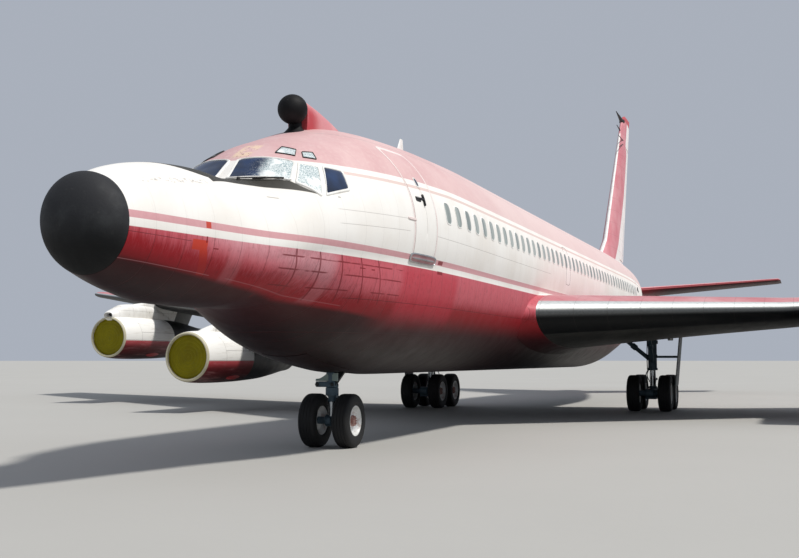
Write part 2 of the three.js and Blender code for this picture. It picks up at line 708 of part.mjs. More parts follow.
// Blocks by their low and high corners, and bars by their ends, radius and sides, joined into one solid
function assembled(blocks, bars) {
  return joined([...blocks.map((row) => block(...row)), ...bars.map((row) => rod(...row))]);
}

// The cylinder with its steering motor's block, the trunnion across the bay, and the drag brace to its
// own bar
const noseLeg = assembled([
  [[-320, -95, 1030], [90, 60, 1210]],
  [[-bay.slotHalf + seam, -60, 1700], [bay.slotHalf - seam, 60, 1820]],
  [[-90, 960, 1600], [90, bay.aft - seam, 1720]],
], [
  [[0, 0, collar], [0, 0, bay.roof - seam], noseCylinderRadius, 14],
  [[0, 50, 1080], [0, 1050, 1650], 62, 8],
]);
addPiece('nose_leg', toGeometry(noseLeg), 'gearGrey');

// The strut with its collar, torque links and axle barrel. Torque links: [station, height]
const torqueLink = [
  [40, 960], [40, 860], [230, 740], [40, 640], [40, 560], [120, 560], [300, 730], [120, 960],
];
const torqueLinkHalf = 40;
const noseSteering = assembled([
  [[-towLug.half, towLug.front, towLug.low], [towLug.half, 0, towLug.high]],
], [
  [[0, 0, noseHubHeight], [0, 0, collar - pinGap], nosePistonRadius, 12],
  [[0, 0, 860], [0, 0, collar - pinGap], noseCylinderRadius + 18, 14],
  [[-120, 0, noseHubHeight], [120, 0, noseHubHeight], 100, 12],
]).add(sidePlate(torqueLink, -torqueLinkHalf, torqueLinkHalf))
  .subtract(axleHole([0, 0, noseHubHeight], noseWheels));
addPiece('nose_steering', toGeometry(noseSteering), 'gearGrey');

// Nose doors are shut under the bay, ahead of the leg
const noseDoorLift = 40;
for (const [name, side] of [['nose_door_left', 1], ['nose_door_right', -1]]) {
  const [low, high] = side > 0 ? [seam, bay.halfWidth - seam] : [seam - bay.halfWidth, -seam];
  const door = block([low, bay.fore + seam, bay.floor], [high, bay.doorEnd - seam, bay.roof])
    .intersect(hull).subtract(hull.translate([0, 0, noseDoorLift]));
  addPiece(name, toGeometry(door), 'fadedRed');
}

// Main gear: a leg under each wing, a truck beam with two axles, and the door on the leg
const leg = { top: 2150, radius: 125, pistonRadius: 88, gland: 1150 };
const beam = { halfHeight: 105, halfWidth: 90 };
const mainDoor = { fore: -420, aft: 330, outTop: 790, outLow: 640, thickness: 32, low: 700, top: 2250 };

// The door hangs from the wing outboard of the wheels and leans in towards them
function mainDoorPlate(grow) {
  const ring = (y) => [
    [mainDoor.outLow - grow, mainDoor.low], [mainDoor.outTop - grow, mainDoor.top],
    [mainDoor.outTop + 2 * mainDoor.thickness, mainDoor.top],
    [mainDoor.outLow + mainDoor.thickness, mainDoor.low],
  ].map(([x, z]) => new THREE.Vector3(mainTrack + x, wheelBase + y, z));
  return toSolid(loft([ring(mainDoor.fore), ring(mainDoor.aft)]));
}
const hub = mainTyreRadius;
const frontAxle = [mainTrack, wheelBase - truckAxleHalf, hub];
const rearAxle = [mainTrack, wheelBase + truckAxleHalf, hub];
const barrel = ([x, y, z]) => [[x - 130, y, z], [x + 130, y, z], 125, 12];
const truck = assembled([
  [[mainTrack - beam.halfWidth, wheelBase - truckAxleHalf, hub - beam.halfHeight],
    [mainTrack + beam.halfWidth, wheelBase + truckAxleHalf, hub + beam.halfHeight]],
], [barrel(frontAxle), barrel(rearAxle)])
  .subtract(axleHole(frontAxle, mainWheels))
  .subtract(axleHole(rearAxle, mainWheels));

// Cylinder and piston, the drag and side braces up into the wing, and the bar that carries the door
const legBottom = hub + beam.halfHeight + seam;
const mainLegSolid = assembled([
  [[mainTrack, wheelBase - 40, 1500], [mainTrack + mainDoor.outTop, wheelBase + 40, 1570]],
], [
  [[mainTrack, wheelBase, leg.gland], [mainTrack, wheelBase, leg.top], leg.radius, 14],
  [[mainTrack, wheelBase, legBottom], [mainTrack, wheelBase, leg.gland + 50], leg.pistonRadius, 12],
  [[mainTrack, wheelBase - 60, 1350], [mainTrack, wheelBase - 900, 2400], 55, 8],
  [[mainTrack - 60, wheelBase, 1450], [mainTrack - 1150, wheelBase, 2350], 60, 8],
]).subtract(wingGrown).subtract(hullGrown).subtract(mainDoorPlate(seam));
const mainDoorSolid = mainDoorPlate(0).subtract(wingGrown);
const mainPieces = [
  ['main_leg', mainLegSolid, 'gearGrey'],
  ['main_truck', truck, 'gearGrey'],
  ['main_door', mainDoorSolid, 'white'],
  ['main_wheels_front', twinWheels(mainWheels).translate(frontAxle), 'blackRubber'],
  ['main_wheels_rear', twinWheels(mainWheels).translate(rearAxle), 'blackRubber'],
];
for (const [name, solid, finishName] of mainPieces) {
  const whole = solid.decompose().reduce((best, piece) => (piece.volume() > best.volume() ? piece : best));
  addPiece(`${name}_left`, toGeometry(whole), finishName);
  addPiece(`${name}_right`, toGeometry(mirrored(whole)), finishName);
}

// The fuselage in its three built sections, with pockets for the doors and windows and the nose wheel bay
const bayBoxes = [
  block([-bay.halfWidth, bay.fore, bay.floor], [bay.halfWidth, bay.doorEnd, bay.roof]),
  block([-bay.slotHalf, bay.doorEnd - 1, bay.floor], [bay.slotHalf, bay.aft, bay.roof]),
];
const hullCut = [...pockets, ...bayBoxes].reduce((solid, cutter) => solid.subtract(cutter), hull)
  .add(jackPad(jackPads.nose));
const far = 9000;
const sectionEnds = [hullStations[0][0], ...sectionJoints, hullStations.at(-1)[0]];
['fuselage_forward', 'fuselage_centre', 'fuselage_aft'].forEach((name, i) => {
  const slice = block([-far, sectionEnds[i], -far], [far, sectionEnds[i + 1], far]);
  addPiece(name, toGeometry(hullCut.intersect(slice)), 'white');
});

export default airliner;
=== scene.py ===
"""Looks of a narrow body airliner with a long test nose, dressed on its packed 1:2 frame.

Lengths are full-size metres: x to port, y aft of the nose wheel axle (the station), z up from the ground.
"""
import functools
import math

import bpy
import numpy as np
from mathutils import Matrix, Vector


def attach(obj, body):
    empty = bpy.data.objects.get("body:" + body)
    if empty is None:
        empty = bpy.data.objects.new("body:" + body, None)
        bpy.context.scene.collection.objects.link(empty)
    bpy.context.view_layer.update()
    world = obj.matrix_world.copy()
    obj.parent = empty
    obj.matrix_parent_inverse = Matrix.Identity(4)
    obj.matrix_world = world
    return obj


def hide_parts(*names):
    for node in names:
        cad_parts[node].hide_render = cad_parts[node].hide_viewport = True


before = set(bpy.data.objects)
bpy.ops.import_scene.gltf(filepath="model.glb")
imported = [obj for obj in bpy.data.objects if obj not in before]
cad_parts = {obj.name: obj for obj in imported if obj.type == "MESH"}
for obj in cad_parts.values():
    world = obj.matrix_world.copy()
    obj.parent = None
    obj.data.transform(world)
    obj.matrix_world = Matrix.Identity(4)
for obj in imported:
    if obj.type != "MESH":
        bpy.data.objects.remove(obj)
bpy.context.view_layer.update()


# The view
# The aircraft is seen from near the ground, ahead of its long nose and a little to its left, with the
# lens that takes in the nose, the left side and the wing as far as the outer engine.
sight = bpy.data.cameras.new("sight")
sight.lens = 49.94
sight.sensor_width = 36.0
sight.clip_start = 0.05
sight.clip_end = 600.0
sight_turn = 0.348           # aft and to starboard
sight_rise = 0.072
eye = bpy.data.objects.new("eye", sight)
bpy.context.scene.collection.objects.link(eye)
eye.location = (3.718, -16.0145, 0.73725)
eye.rotation_euler = Vector((
    -math.sin(sight_turn) * math.cos(sight_rise),
    math.cos(sight_turn) * math.cos(sight_rise),
    math.sin(sight_rise),
)).to_track_quat("-Z", "Y").to_euler()
bpy.context.scene.camera = eye
bpy.context.scene.view_settings.view_transform = "Standard"


# Light
# One broad warm lamp stands high over the left side, as the sun does, and the pale room fills the shadows.
sun = bpy.data.lights.new("high_lamp", "SUN")
sun.energy = 3.4
sun.angle = 0.09
sun.color = (1.0, 0.965, 0.91)
sun_object = bpy.data.objects.new("high_lamp", sun)
bpy.context.scene.collection.objects.link(sun_object)
sun_object.rotation_euler = Vector((-0.54, 0.01, -0.84)).to_track_quat("-Z", "Y").to_euler()
room = bpy.data.worlds.new("pale_room")
bpy.context.scene.world = room
room.use_nodes = True
room.node_tree.nodes["Background"].inputs["Color"].default_value = (0.8, 0.87, 1.0, 1.0)
room.node_tree.nodes["Background"].inputs["Strength"].default_value = 0.5


# Floor
# A plain pale floor, one wide disc that is only slightly uneven in tone.
MODEL_SCALE = 0.5
MIDDLE_STATION = 14.845      # the station that lies over the frame's own centre


def linear(colour):
    """The linear red, green, blue and 1 of a #rrggbb colour: a share s becomes ((s + 0.055) / 1.055)^2.4,
    or s / 12.92 where it is below 0.04045."""
    share = np.array([int(colour[i:i + 2], 16) for i in (1, 3, 5)]) / 255
    low = share / 12.92
    high = ((share + 0.055) / 1.055) ** 2.4
    return (*np.where(share < 0.04045, low, high).tolist(), 1.0)


class Finish:
    """One material as the layers that a painter lays down. Each method adds a node and hands on its output.

    place is the point in full-size metres, and x, y and z are its parts. fit holds the three numbers that a
    piece's own mesh gives at each point.
    """

    def __init__(self, name):
        self.material = bpy.data.materials.new(name)
        self.material.use_nodes = True
        self.tree = self.material.node_tree
        self.shader = self.tree.nodes["Principled BSDF"]
        spot = self.node("TexCoord").outputs["Object"]
        grow = 1 / MODEL_SCALE
        self.place = self.vector("MULTIPLY_ADD", spot, (grow, grow, grow), (0.0, MIDDLE_STATION, 0.0))
        self.x, self.y, self.z = self.split(self.place)

    def node(self, kind, **settings):
        made = self.tree.nodes.new("ShaderNode" + kind)
        for key, value in settings.items():
            setattr(made, key, value)
        return made

    def put(self, socket, value):
        if isinstance(value, bpy.types.NodeSocket):
            self.tree.links.new(value, socket)
        else:
            socket.default_value = linear(value) if isinstance(value, str) else value

    def vector(self, operation, *values):
        made = self.node("VectorMath", operation=operation)
        for socket, value in zip(made.inputs, values):
            self.put(socket, value)
        return made.outputs["Vector"]

    def split(self, vector):
        made = self.node("SeparateXYZ")
        self.put(made.inputs[0], vector)
        return made.outputs

    def fit(self):
        return self.split(self.node("Attribute", attribute_name="fit").outputs["Vector"])

    def number(self, operation, *values):
        made = self.node("Math", operation=operation)
        for socket, value in zip(made.inputs, values):
            self.put(socket, value)
        return made.outputs[0]

    def plus(self, one, other):
        return self.number("ADD", one, other)

    def less(self, one, other):
        return self.number("SUBTRACT", one, other)

    def size(self, value):
        return self.number("ABSOLUTE", value)

    def over(self, value, low, high, full=1.0):
        """0 up to low, full from high on, and an S curve between. The other way round where low > high."""
        made = self.node("MapRange", interpolation_type="SMOOTHSTEP")
        for name, number in (("Value", value), ("From Min", low), ("From Max", high), ("To Max", full)):
            self.put(made.inputs[name], number)
        return made.outputs["Result"]

    def within(self, value, low, high, soft):
        """1 from low to high, and an S curve of soft outside both."""
        return self.both(self.over(value, low - soft, low), self.over(value, high + soft, high))

    def bands(self, value, soft, *spans):
        """1 within any of these spans of value."""
        return self.most(*(self.within(value, low, high, soft) for low, high in spans))

    def both(self, *values):
        """The product, which is the share where all the given shares hold."""
        return functools.reduce(lambda one, other: self.number("MULTIPLY", one, other), values)

    def most(self, *values):
        """The greatest, which is the share where any of the given shares holds."""
        return functools.reduce(lambda one, other: self.number("MAXIMUM", one, other), values)

    def lines(self, value, pitch, width, first=0.0):
        """1 on lines of this width at every pitch of value, counted from first, and 0 between them."""
        off = self.number("PINGPONG", self.less(value, first), pitch / 2)
        return self.over(off, width, width / 3)

    def noise(self, scale, detail=3.0, roughness=0.55, stretch=(1.0, 1.0, 1.0)):
        made = self.node("TexNoise")
        self.put(made.inputs["Vector"], self.vector("MULTIPLY", self.place, stretch))
        self.put(made.inputs["Scale"], scale)
        self.put(made.inputs["Detail"], detail)
        self.put(made.inputs["Roughness"], roughness)
        return made.outputs["Fac"]

    def specks(self, scale, stretch=(1.0, 1.0, 1.0)):
        made = self.node("TexVoronoi")
        self.put(made.inputs["Vector"], self.vector("MULTIPLY", self.place, stretch))
        self.put(made.inputs["Scale"], scale)
        return made.outputs["Distance"]

    def mix(self, share, under, upper):
        made = self.node("Mix", data_type="RGBA")
        self.put(made.inputs[0], share)
        self.put(made.inputs[6], under)
        self.put(made.inputs[7], upper)
        return made.outputs[2]

    def fade(self, value, low, high, under, upper):
        """One colour that passes into another where value goes from low to high."""
        return self.mix(self.over(value, low, high), under, upper)

    def mottled(self, low, high, under, upper, *grain):
        """The same where a noise of this grain goes from low to high."""
        return self.fade(self.noise(*grain), low, high, under, upper)

    def spread(self, share, low, high):
        """low where share is 0 and high where it is 1."""
        made = self.node("MapRange")
        self.put(made.inputs["Value"], share)
        self.put(made.inputs["To Min"], low)
        self.put(made.inputs["To Max"], high)
        return made.outputs["Result"]

    def bump(self, height, depth, under=None):
        """Depth in full-size metres of a height that goes from 0 to 1."""
        made = self.node("Bump")
        self.put(made.inputs["Height"], height)
        self.put(made.inputs["Distance"], depth * MODEL_SCALE)
        if under is not None:
            self.put(made.inputs["Normal"], under)
        return made.outputs["Normal"]

    def done(self, colour, roughness, normal=None, metallic=0.0, **sockets):
        self.put(self.shader.inputs["Base Color"], colour)
        self.put(self.shader.inputs["Roughness"], roughness)
        self.put(self.shader.inputs["Metallic"], metallic)
        if normal is not None:
            self.put(self.shader.inputs["Normal"], normal)
        for key, value in sockets.items():
            self.put(self.shader.inputs[key.replace("_", " ")], value)
        return self.material


def in_frame(points):
    """Full-size metres to the frame's: y less the middle station, and everything halved."""
    return (np.asarray(points, float) - (0.0, MIDDLE_STATION, 0.0)) * MODEL_SCALE


def mesh_from(name, points, faces, paints=None, fit=None, smooth_to=40.0):
    """A mesh from points in full-size metres and arrays of faces, each array with its own count of corners.
    Faces that meet at less than smooth_to degrees are shaded as one surface."""
    mesh = bpy.data.meshes.new(name)
    mesh.vertices.add(len(points))
    mesh.vertices.foreach_set("co", in_frame(points).astype(np.float32).ravel())
    corners = np.concatenate([f.ravel() for f in faces])
    totals = np.concatenate([np.full(len(f), f.shape[1]) for f in faces])
    mesh.loops.add(len(corners))
    mesh.loops.foreach_set("vertex_index", corners.astype(np.int32))
    mesh.polygons.add(len(totals))
    starts = np.concatenate([[0], np.cumsum(totals)[:-1]])
    mesh.polygons.foreach_set("loop_start", starts.astype(np.int32))
    mesh.polygons.foreach_set("loop_total", totals.astype(np.int32))
    if paints is not None:
        mesh.polygons.foreach_set("material_index", paints.astype(np.int32))
    if fit is not None:
        own = mesh.attributes.new("fit", "FLOAT_VECTOR", "POINT")
        own.data.foreach_set("vector", np.asarray(fit, np.float32).ravel())
    mesh.update(calc_edges=True)
    mesh.shade_smooth()
    mesh.set_sharp_from_angle(angle=math.radians(smooth_to))
    return mesh


def volume(points, faces):
    """Six times the signed volume: the sum of a . (b x c) over the triangles of every face's fan."""
    total = 0.0
    for f in faces:
        for k in range(1, f.shape[1] - 1):
            a, b, c = points[f[:, 0]], points[f[:, k]], points[f[:, k + 1]]
            total += np.einsum("ij,ij->", a, np.cross(b, c))
    return total


def closed(grid, poles=(None, None), looped=False, flat_ends=False, fit=None):
    """The closed surface over a grid of rings, with its faces turned outwards.

    Neighbouring rings are joined all the way round. Each end is drawn together in its pole, which is the
    mean of the end ring unless one is given, or closed by one flat face. A looped grid joins its last ring
    to its first, as in a hoop.
    """
    rings, count = grid.shape[:2]
    index = np.arange(rings * count).reshape(rings, count)
    ahead = np.roll(index, -1, 1)
    if looped:
        low, high = index, np.roll(index, -1, 0)
        low_ahead, high_ahead = ahead, np.roll(ahead, -1, 0)
    else:
        low, high, low_ahead, high_ahead = index[:-1], index[1:], ahead[:-1], ahead[1:]
    faces = [np.stack([low, low_ahead, high_ahead, high], -1).reshape(-1, 4)]
    points = grid.reshape(-1, 3)
    own = None if fit is None else np.broadcast_to(fit, grid.shape).reshape(-1, 3)
    if flat_ends:
        faces += [index[:1, ::-1], index[-1:]]
    elif not looped:
        tips = [grid[end].mean(0) if poles[k] is None else np.asarray(poles[k], float)
                for k, end in ((0, 0), (1, -1))]
        first = np.full(count, len(points))
        faces.append(np.stack([first, ahead[0], index[0]], -1))
        faces.append(np.stack([first + 1, index[-1], ahead[-1]], -1))
        points = np.concatenate([points, tips])
        if own is not None:
            own = np.concatenate([own, [own[:count].mean(0), own[-count:].mean(0)]])
    if volume(points, faces) < 0:
        faces = [f[:, ::-1] for f in faces]
    return {"points": points, "faces": faces, "fit": own, "paint": 0}


def full_turn(count):
    """Angles the same way apart, once round."""
    return np.linspace(0, 2 * math.pi, count, endpoint=False)


floor_radius = 900.0
around = full_turn(96)
floor_rings = np.array([1.0, 0.5, 0.2, 0.05])[:, None]
floor_grid = np.stack([
    floor_radius * floor_rings * np.cos(around),
    MIDDLE_STATION + floor_radius * floor_rings * np.sin(around),
    np.zeros((4, 96)),
], -1)
under = floor_grid[:1] - (0, 0, 0.2)
floor_shell = closed(np.concatenate([under, floor_grid]))
floor_finish = Finish("pale_floor")
floor = bpy.data.objects.new("floor", mesh_from("floor", floor_shell["points"], floor_shell["faces"]))
floor.data.materials.append(floor_finish.done(
    floor_finish.mix(floor_finish.noise(0.15), "#a8a7a3", "#b0afab"), 0.85,
    floor_finish.bump(floor_finish.noise(3.0), 0.004)))
bpy.context.scene.collection.objects.link(floor)


# Fuselage
# An aluminium skin on frames and stringers: a round upper lobe over a narrower lower one, which meet in a
# crease under the cabin floor, and a long faired snout in front of the flight deck. It is painted white
# with a pink crown and a red belly, both chalked and streaked by years outside.
# Columns: station, half width, level of the widest point, top, bottom, share of the two-lobed section
hull_rows = np.array([
    [-6.87, 0.555, 2.975, 3.55, 2.4, 0.0],
    [-6.5, 0.64, 2.99, 3.69, 2.295, 0.0],
    [-6.1, 0.71, 3.0, 3.79, 2.212, 0.0],
    [-5.6, 0.8, 3.0, 3.87, 2.145, 0.0],
    [-5.0, 0.91, 2.98, 3.91, 2.14, 0.1],
    [-4.45, 1.04, 2.95, 3.885, 2.142, 0.3],
    [-3.95, 1.2, 3.05, 3.92, 2.16, 0.4],
    [-3.6, 1.313, 3.15, 4.169, 2.165, 0.5],
    [-3.4, 1.37, 3.2, 4.34, 2.125, 0.6],
    [-3.1, 1.44, 3.25, 4.502, 2.03, 0.7],
    [-2.75, 1.51, 3.3, 4.655, 1.885, 0.8],
    [-2.35, 1.582, 3.36, 4.785, 1.7, 0.9],
    [-1.9, 1.65, 3.42, 4.934, 1.53, 1.0],
    [-1.35, 1.717, 3.481, 5.108, 1.407, 1.0],
    [-0.8, 1.77, 3.53, 5.215, 1.332, 1.0],
    [0.4, 1.845, 3.6, 5.318, 1.221, 1.0],
    [2.0, 1.88, 3.65, 5.398, 1.2, 1.0],
    [4.5, 1.88, 3.65, 5.46, 1.2, 1.0],
    [20.5, 1.88, 3.65, 5.46, 1.2, 1.0],
    [23.0, 1.82, 3.69, 5.46, 1.46, 1.0],
    [25.5, 1.65, 3.79, 5.455, 1.92, 1.0],
    [28.0, 1.4, 3.93, 5.44, 2.45, 1.0],
    [30.5, 1.1, 4.09, 5.41, 3.01, 0.8],
    [33.0, 0.74, 4.28, 5.27, 3.56, 0.5],
    [34.9, 0.4, 4.44, 5.02, 4.03, 0.2],
])
lower_lobe = {"centre": -0.2746, "across": 0.9457, "deep": 0.7254}
crease = {"across": 0.9456, "up": -0.2497}
upper_aspect = 1.88 / 2.45
crease_round = math.atan2(crease["up"], crease["across"])
crease_lower = math.asin((crease["up"] - lower_lobe["centre"]) / lower_lobe["deep"])
crease_upper = math.asin(crease["up"] / upper_aspect)


def faired(rows, station):
    """Columns of a table at any station: the cubic whose slope at each row is the harmonic mean of the
    slopes on both sides of it, which never swings past the rows."""
    at, columns = rows[:, 0], rows[:, 1:]
    step = np.diff(at)[:, None]
    rise = np.diff(columns, axis=0) / step
    same = rise[:-1] * rise[1:] > 0
    near = np.where(same, rise[:-1], 1.0)
    far = np.where(same, rise[1:], 1.0)
    slope = np.concatenate([rise[:1], np.where(same, 2 / (1 / near + 1 / far), 0.0), rise[-1:]])
    station = np.asarray(station, float)
    k = np.clip(np.searchsorted(at, station, side="right") - 1, 0, len(at) - 2)
    span = (at[k + 1] - at[k])[..., None]
    t = (station - at[k])[..., None] / span
    return (columns[k] * (1 + 2 * t) * (1 - t) ** 2 + slope[k] * span * t * (1 - t) ** 2
            + columns[k + 1] * t ** 2 * (3 - 2 * t) + slope[k + 1] * span * t ** 2 * (t - 1))


def section(lobe, girth):
    """Across and up as shares of the half width and half depth. Girth runs from 0 at the crown through 1 at
    the crease to 2 at the keel, port positive. Lobe blends an ellipse with the two-lobed section."""
    t = np.abs(girth)
    upper = t <= 1
    full = np.where(upper, math.pi / 2 + (crease_upper - math.pi / 2) * t,
                    crease_lower - (math.pi / 2 + crease_lower) * (t - 1))
    plain = np.where(upper, math.pi / 2 + (crease_round - math.pi / 2) * t,
                     crease_round - (math.pi / 2 + crease_round) * (t - 1))
    full_up = np.where(upper, np.where(full < 0, upper_aspect, 1.0) * np.sin(full),
                       lower_lobe["centre"] + lower_lobe["deep"] * np.sin(full))
    full_across = np.where(upper, 1.0, lower_lobe["across"]) * np.cos(full)
    return ((1 - lobe) * np.cos(plain) + lobe * full_across,
            (1 - lobe) * np.sin(plain) + lobe * full_up)


def unit(vectors):
    """Each vector divided by its own length."""
    return vectors / np.linalg.norm(vectors, axis=-1, keepdims=True)


def skin(station, girth, lift=0.0, rows=hull_rows):
    """The point of the skin at a station and girth, lifted off it along the surface's normal."""
    station, girth, lift = np.broadcast_arrays(*(np.asarray(v, float) for v in (station, girth, lift)))

    def surface(s, g):
        """The section at s, scaled by the half width and by the depth over or under its widest level."""
        half, level, top, bottom, lobe = np.moveaxis(faired(rows, s), -1, 0)
        across, up = section(lobe, g)
        height = level + up * np.where(up > 0, top - level, level - bottom)
        return np.stack([np.sign(g) * across * half, s, height], -1)

    place = surface(station, girth)
    if not np.any(lift):
        return place
    near = 0.004
    normal = np.cross(surface(station, girth + near) - surface(station, girth - near),
                      surface(station + near, girth) - surface(station - near, girth))
    return place + lift[..., None] * unit(normal)


def girth_at(station, height, side=1.0):
    """The girth where the skin stands at a height, by looking it up along 240 points of the section."""
    station, height = np.broadcast_arrays(np.asarray(station, float), np.asarray(height, float))
    trial = np.linspace(0.0, 2.0, 241)
    levels = skin(station[..., None], trial)[..., 2]
    k = np.clip((levels > height[..., None]).sum(-1) - 1, 0, 239)
    high = np.take_along_axis(levels, k[..., None], -1)[..., 0]
    low = np.take_along_axis(levels, k[..., None] + 1, -1)[..., 0]
    return side * (trial[k] + (trial[1] - trial[0]) * (high - height) / np.maximum(high - low, 1e-9))


bay = {"fore": -0.15, "aft": 1.25, "half": 0.23, "roof": 2.05}   # open nose wheel bay
tail_round = 0.5             # length of the rounded tip behind the last row


def hull_shell():
    """Skin rings at stations set close where the shape bends. A strip of columns runs along the keel just as
    wide as the bay. The rings shrink as a circle's chords do towards the tail's tip. Inside the bay the skin
    is left out, and walls rise from its edge to a flat roof."""
    stations = np.unique(np.round(np.concatenate([
        np.linspace(-6.87, -4.45, 36), np.linspace(-4.45, bay["fore"], 64),
        np.linspace(bay["fore"], bay["aft"], 12), np.linspace(bay["aft"], 20.5, 70),
        np.linspace(20.5, 34.9, 60)]), 5))
    half = faired(hull_rows, stations)[:, 0]
    keel = np.arcsin(bay["half"] / (lower_lobe["across"] * half)) / (math.pi / 2 + crease_lower)
    share_keel, share_low, share_high = np.linspace(0, 1, 5), np.linspace(0, 1, 27), np.linspace(0, 1, 35)
    column = np.concatenate([
        2 - keel[:, None] * share_keel[None, :-1],
        (2 - keel[:, None]) + (keel[:, None] - 1) * share_low[None, :-1],
        1 - share_high[None, :] + 0 * keel[:, None],
    ], 1)
    girth = np.concatenate([column, -column[:, -2:0:-1]], 1)
    grid = skin(stations[:, None], girth)
    middle = grid[-1].mean(0)
    turn = np.linspace(0, math.pi / 2, 9)[1:-1]
    tail = [middle + (grid[-1] - middle) * math.cos(a) + (0, tail_round * math.sin(a), 0) for a in turn]
    grid = np.concatenate([grid, tail])
    shell = closed(grid, poles=(None, middle + (0, tail_round, 0.02)))
    count = girth.shape[1]
    first = int(np.flatnonzero(np.isclose(stations, bay["fore"]))[0])
    last = int(np.flatnonzero(np.isclose(stations, bay["aft"]))[0])
    k = len(share_keel) - 1
    inside = np.concatenate([np.arange(count - k, count), np.arange(k)])
    quads = shell["faces"][0]
    cell = np.arange(len(quads))
    gone = ((cell // count >= first) & (cell // count < last) & np.isin(cell % count, inside))
    rim = np.concatenate([
        first * count + inside,
        np.arange(first, last) * count + k,
        last * count + np.concatenate([np.arange(k, -1, -1), np.arange(count - 1, count - k, -1)]),
        np.arange(last, first, -1) * count + count - k,
    ])
    points = shell["points"]
    roof = points[rim] * (1, 1, 0) + (0, 0, bay["roof"])
    top = len(points) + np.arange(len(rim))
    ahead, top_ahead = np.roll(rim, -1), np.roll(top, -1)
    walls = np.stack([rim, ahead, top_ahead, top], -1)
    a, b, c = points[rim[0]], points[ahead[0]], roof[0]
    inwards = np.array([0, (bay["fore"] + bay["aft"]) / 2, a[2]]) - a
    if np.dot(np.cross(b - a, c - a), inwards) < 0:
        walls, top = walls[:, ::-1], top[::-1]
    return {**shell, "points": np.concatenate([points, roof]),
            "faces": [quads[~gone], *shell["faces"][1:], walls, top[None, :]]}


# Livery levels, from the middle of the side
crown_level, crown_fall = 4.385, 0.03        # the pink crown's edge, and how fast it falls ahead of station 1
pin_line = (-0.135, -0.095)                  # the thin pink line below that edge
stripe = (3.03, 3.11)
belly_level = 2.93
aft_rise = (23.0, 0.11)                      # the belly's levels rise with the tail from here
frame_pitch = 0.508
glare_level = 3.776


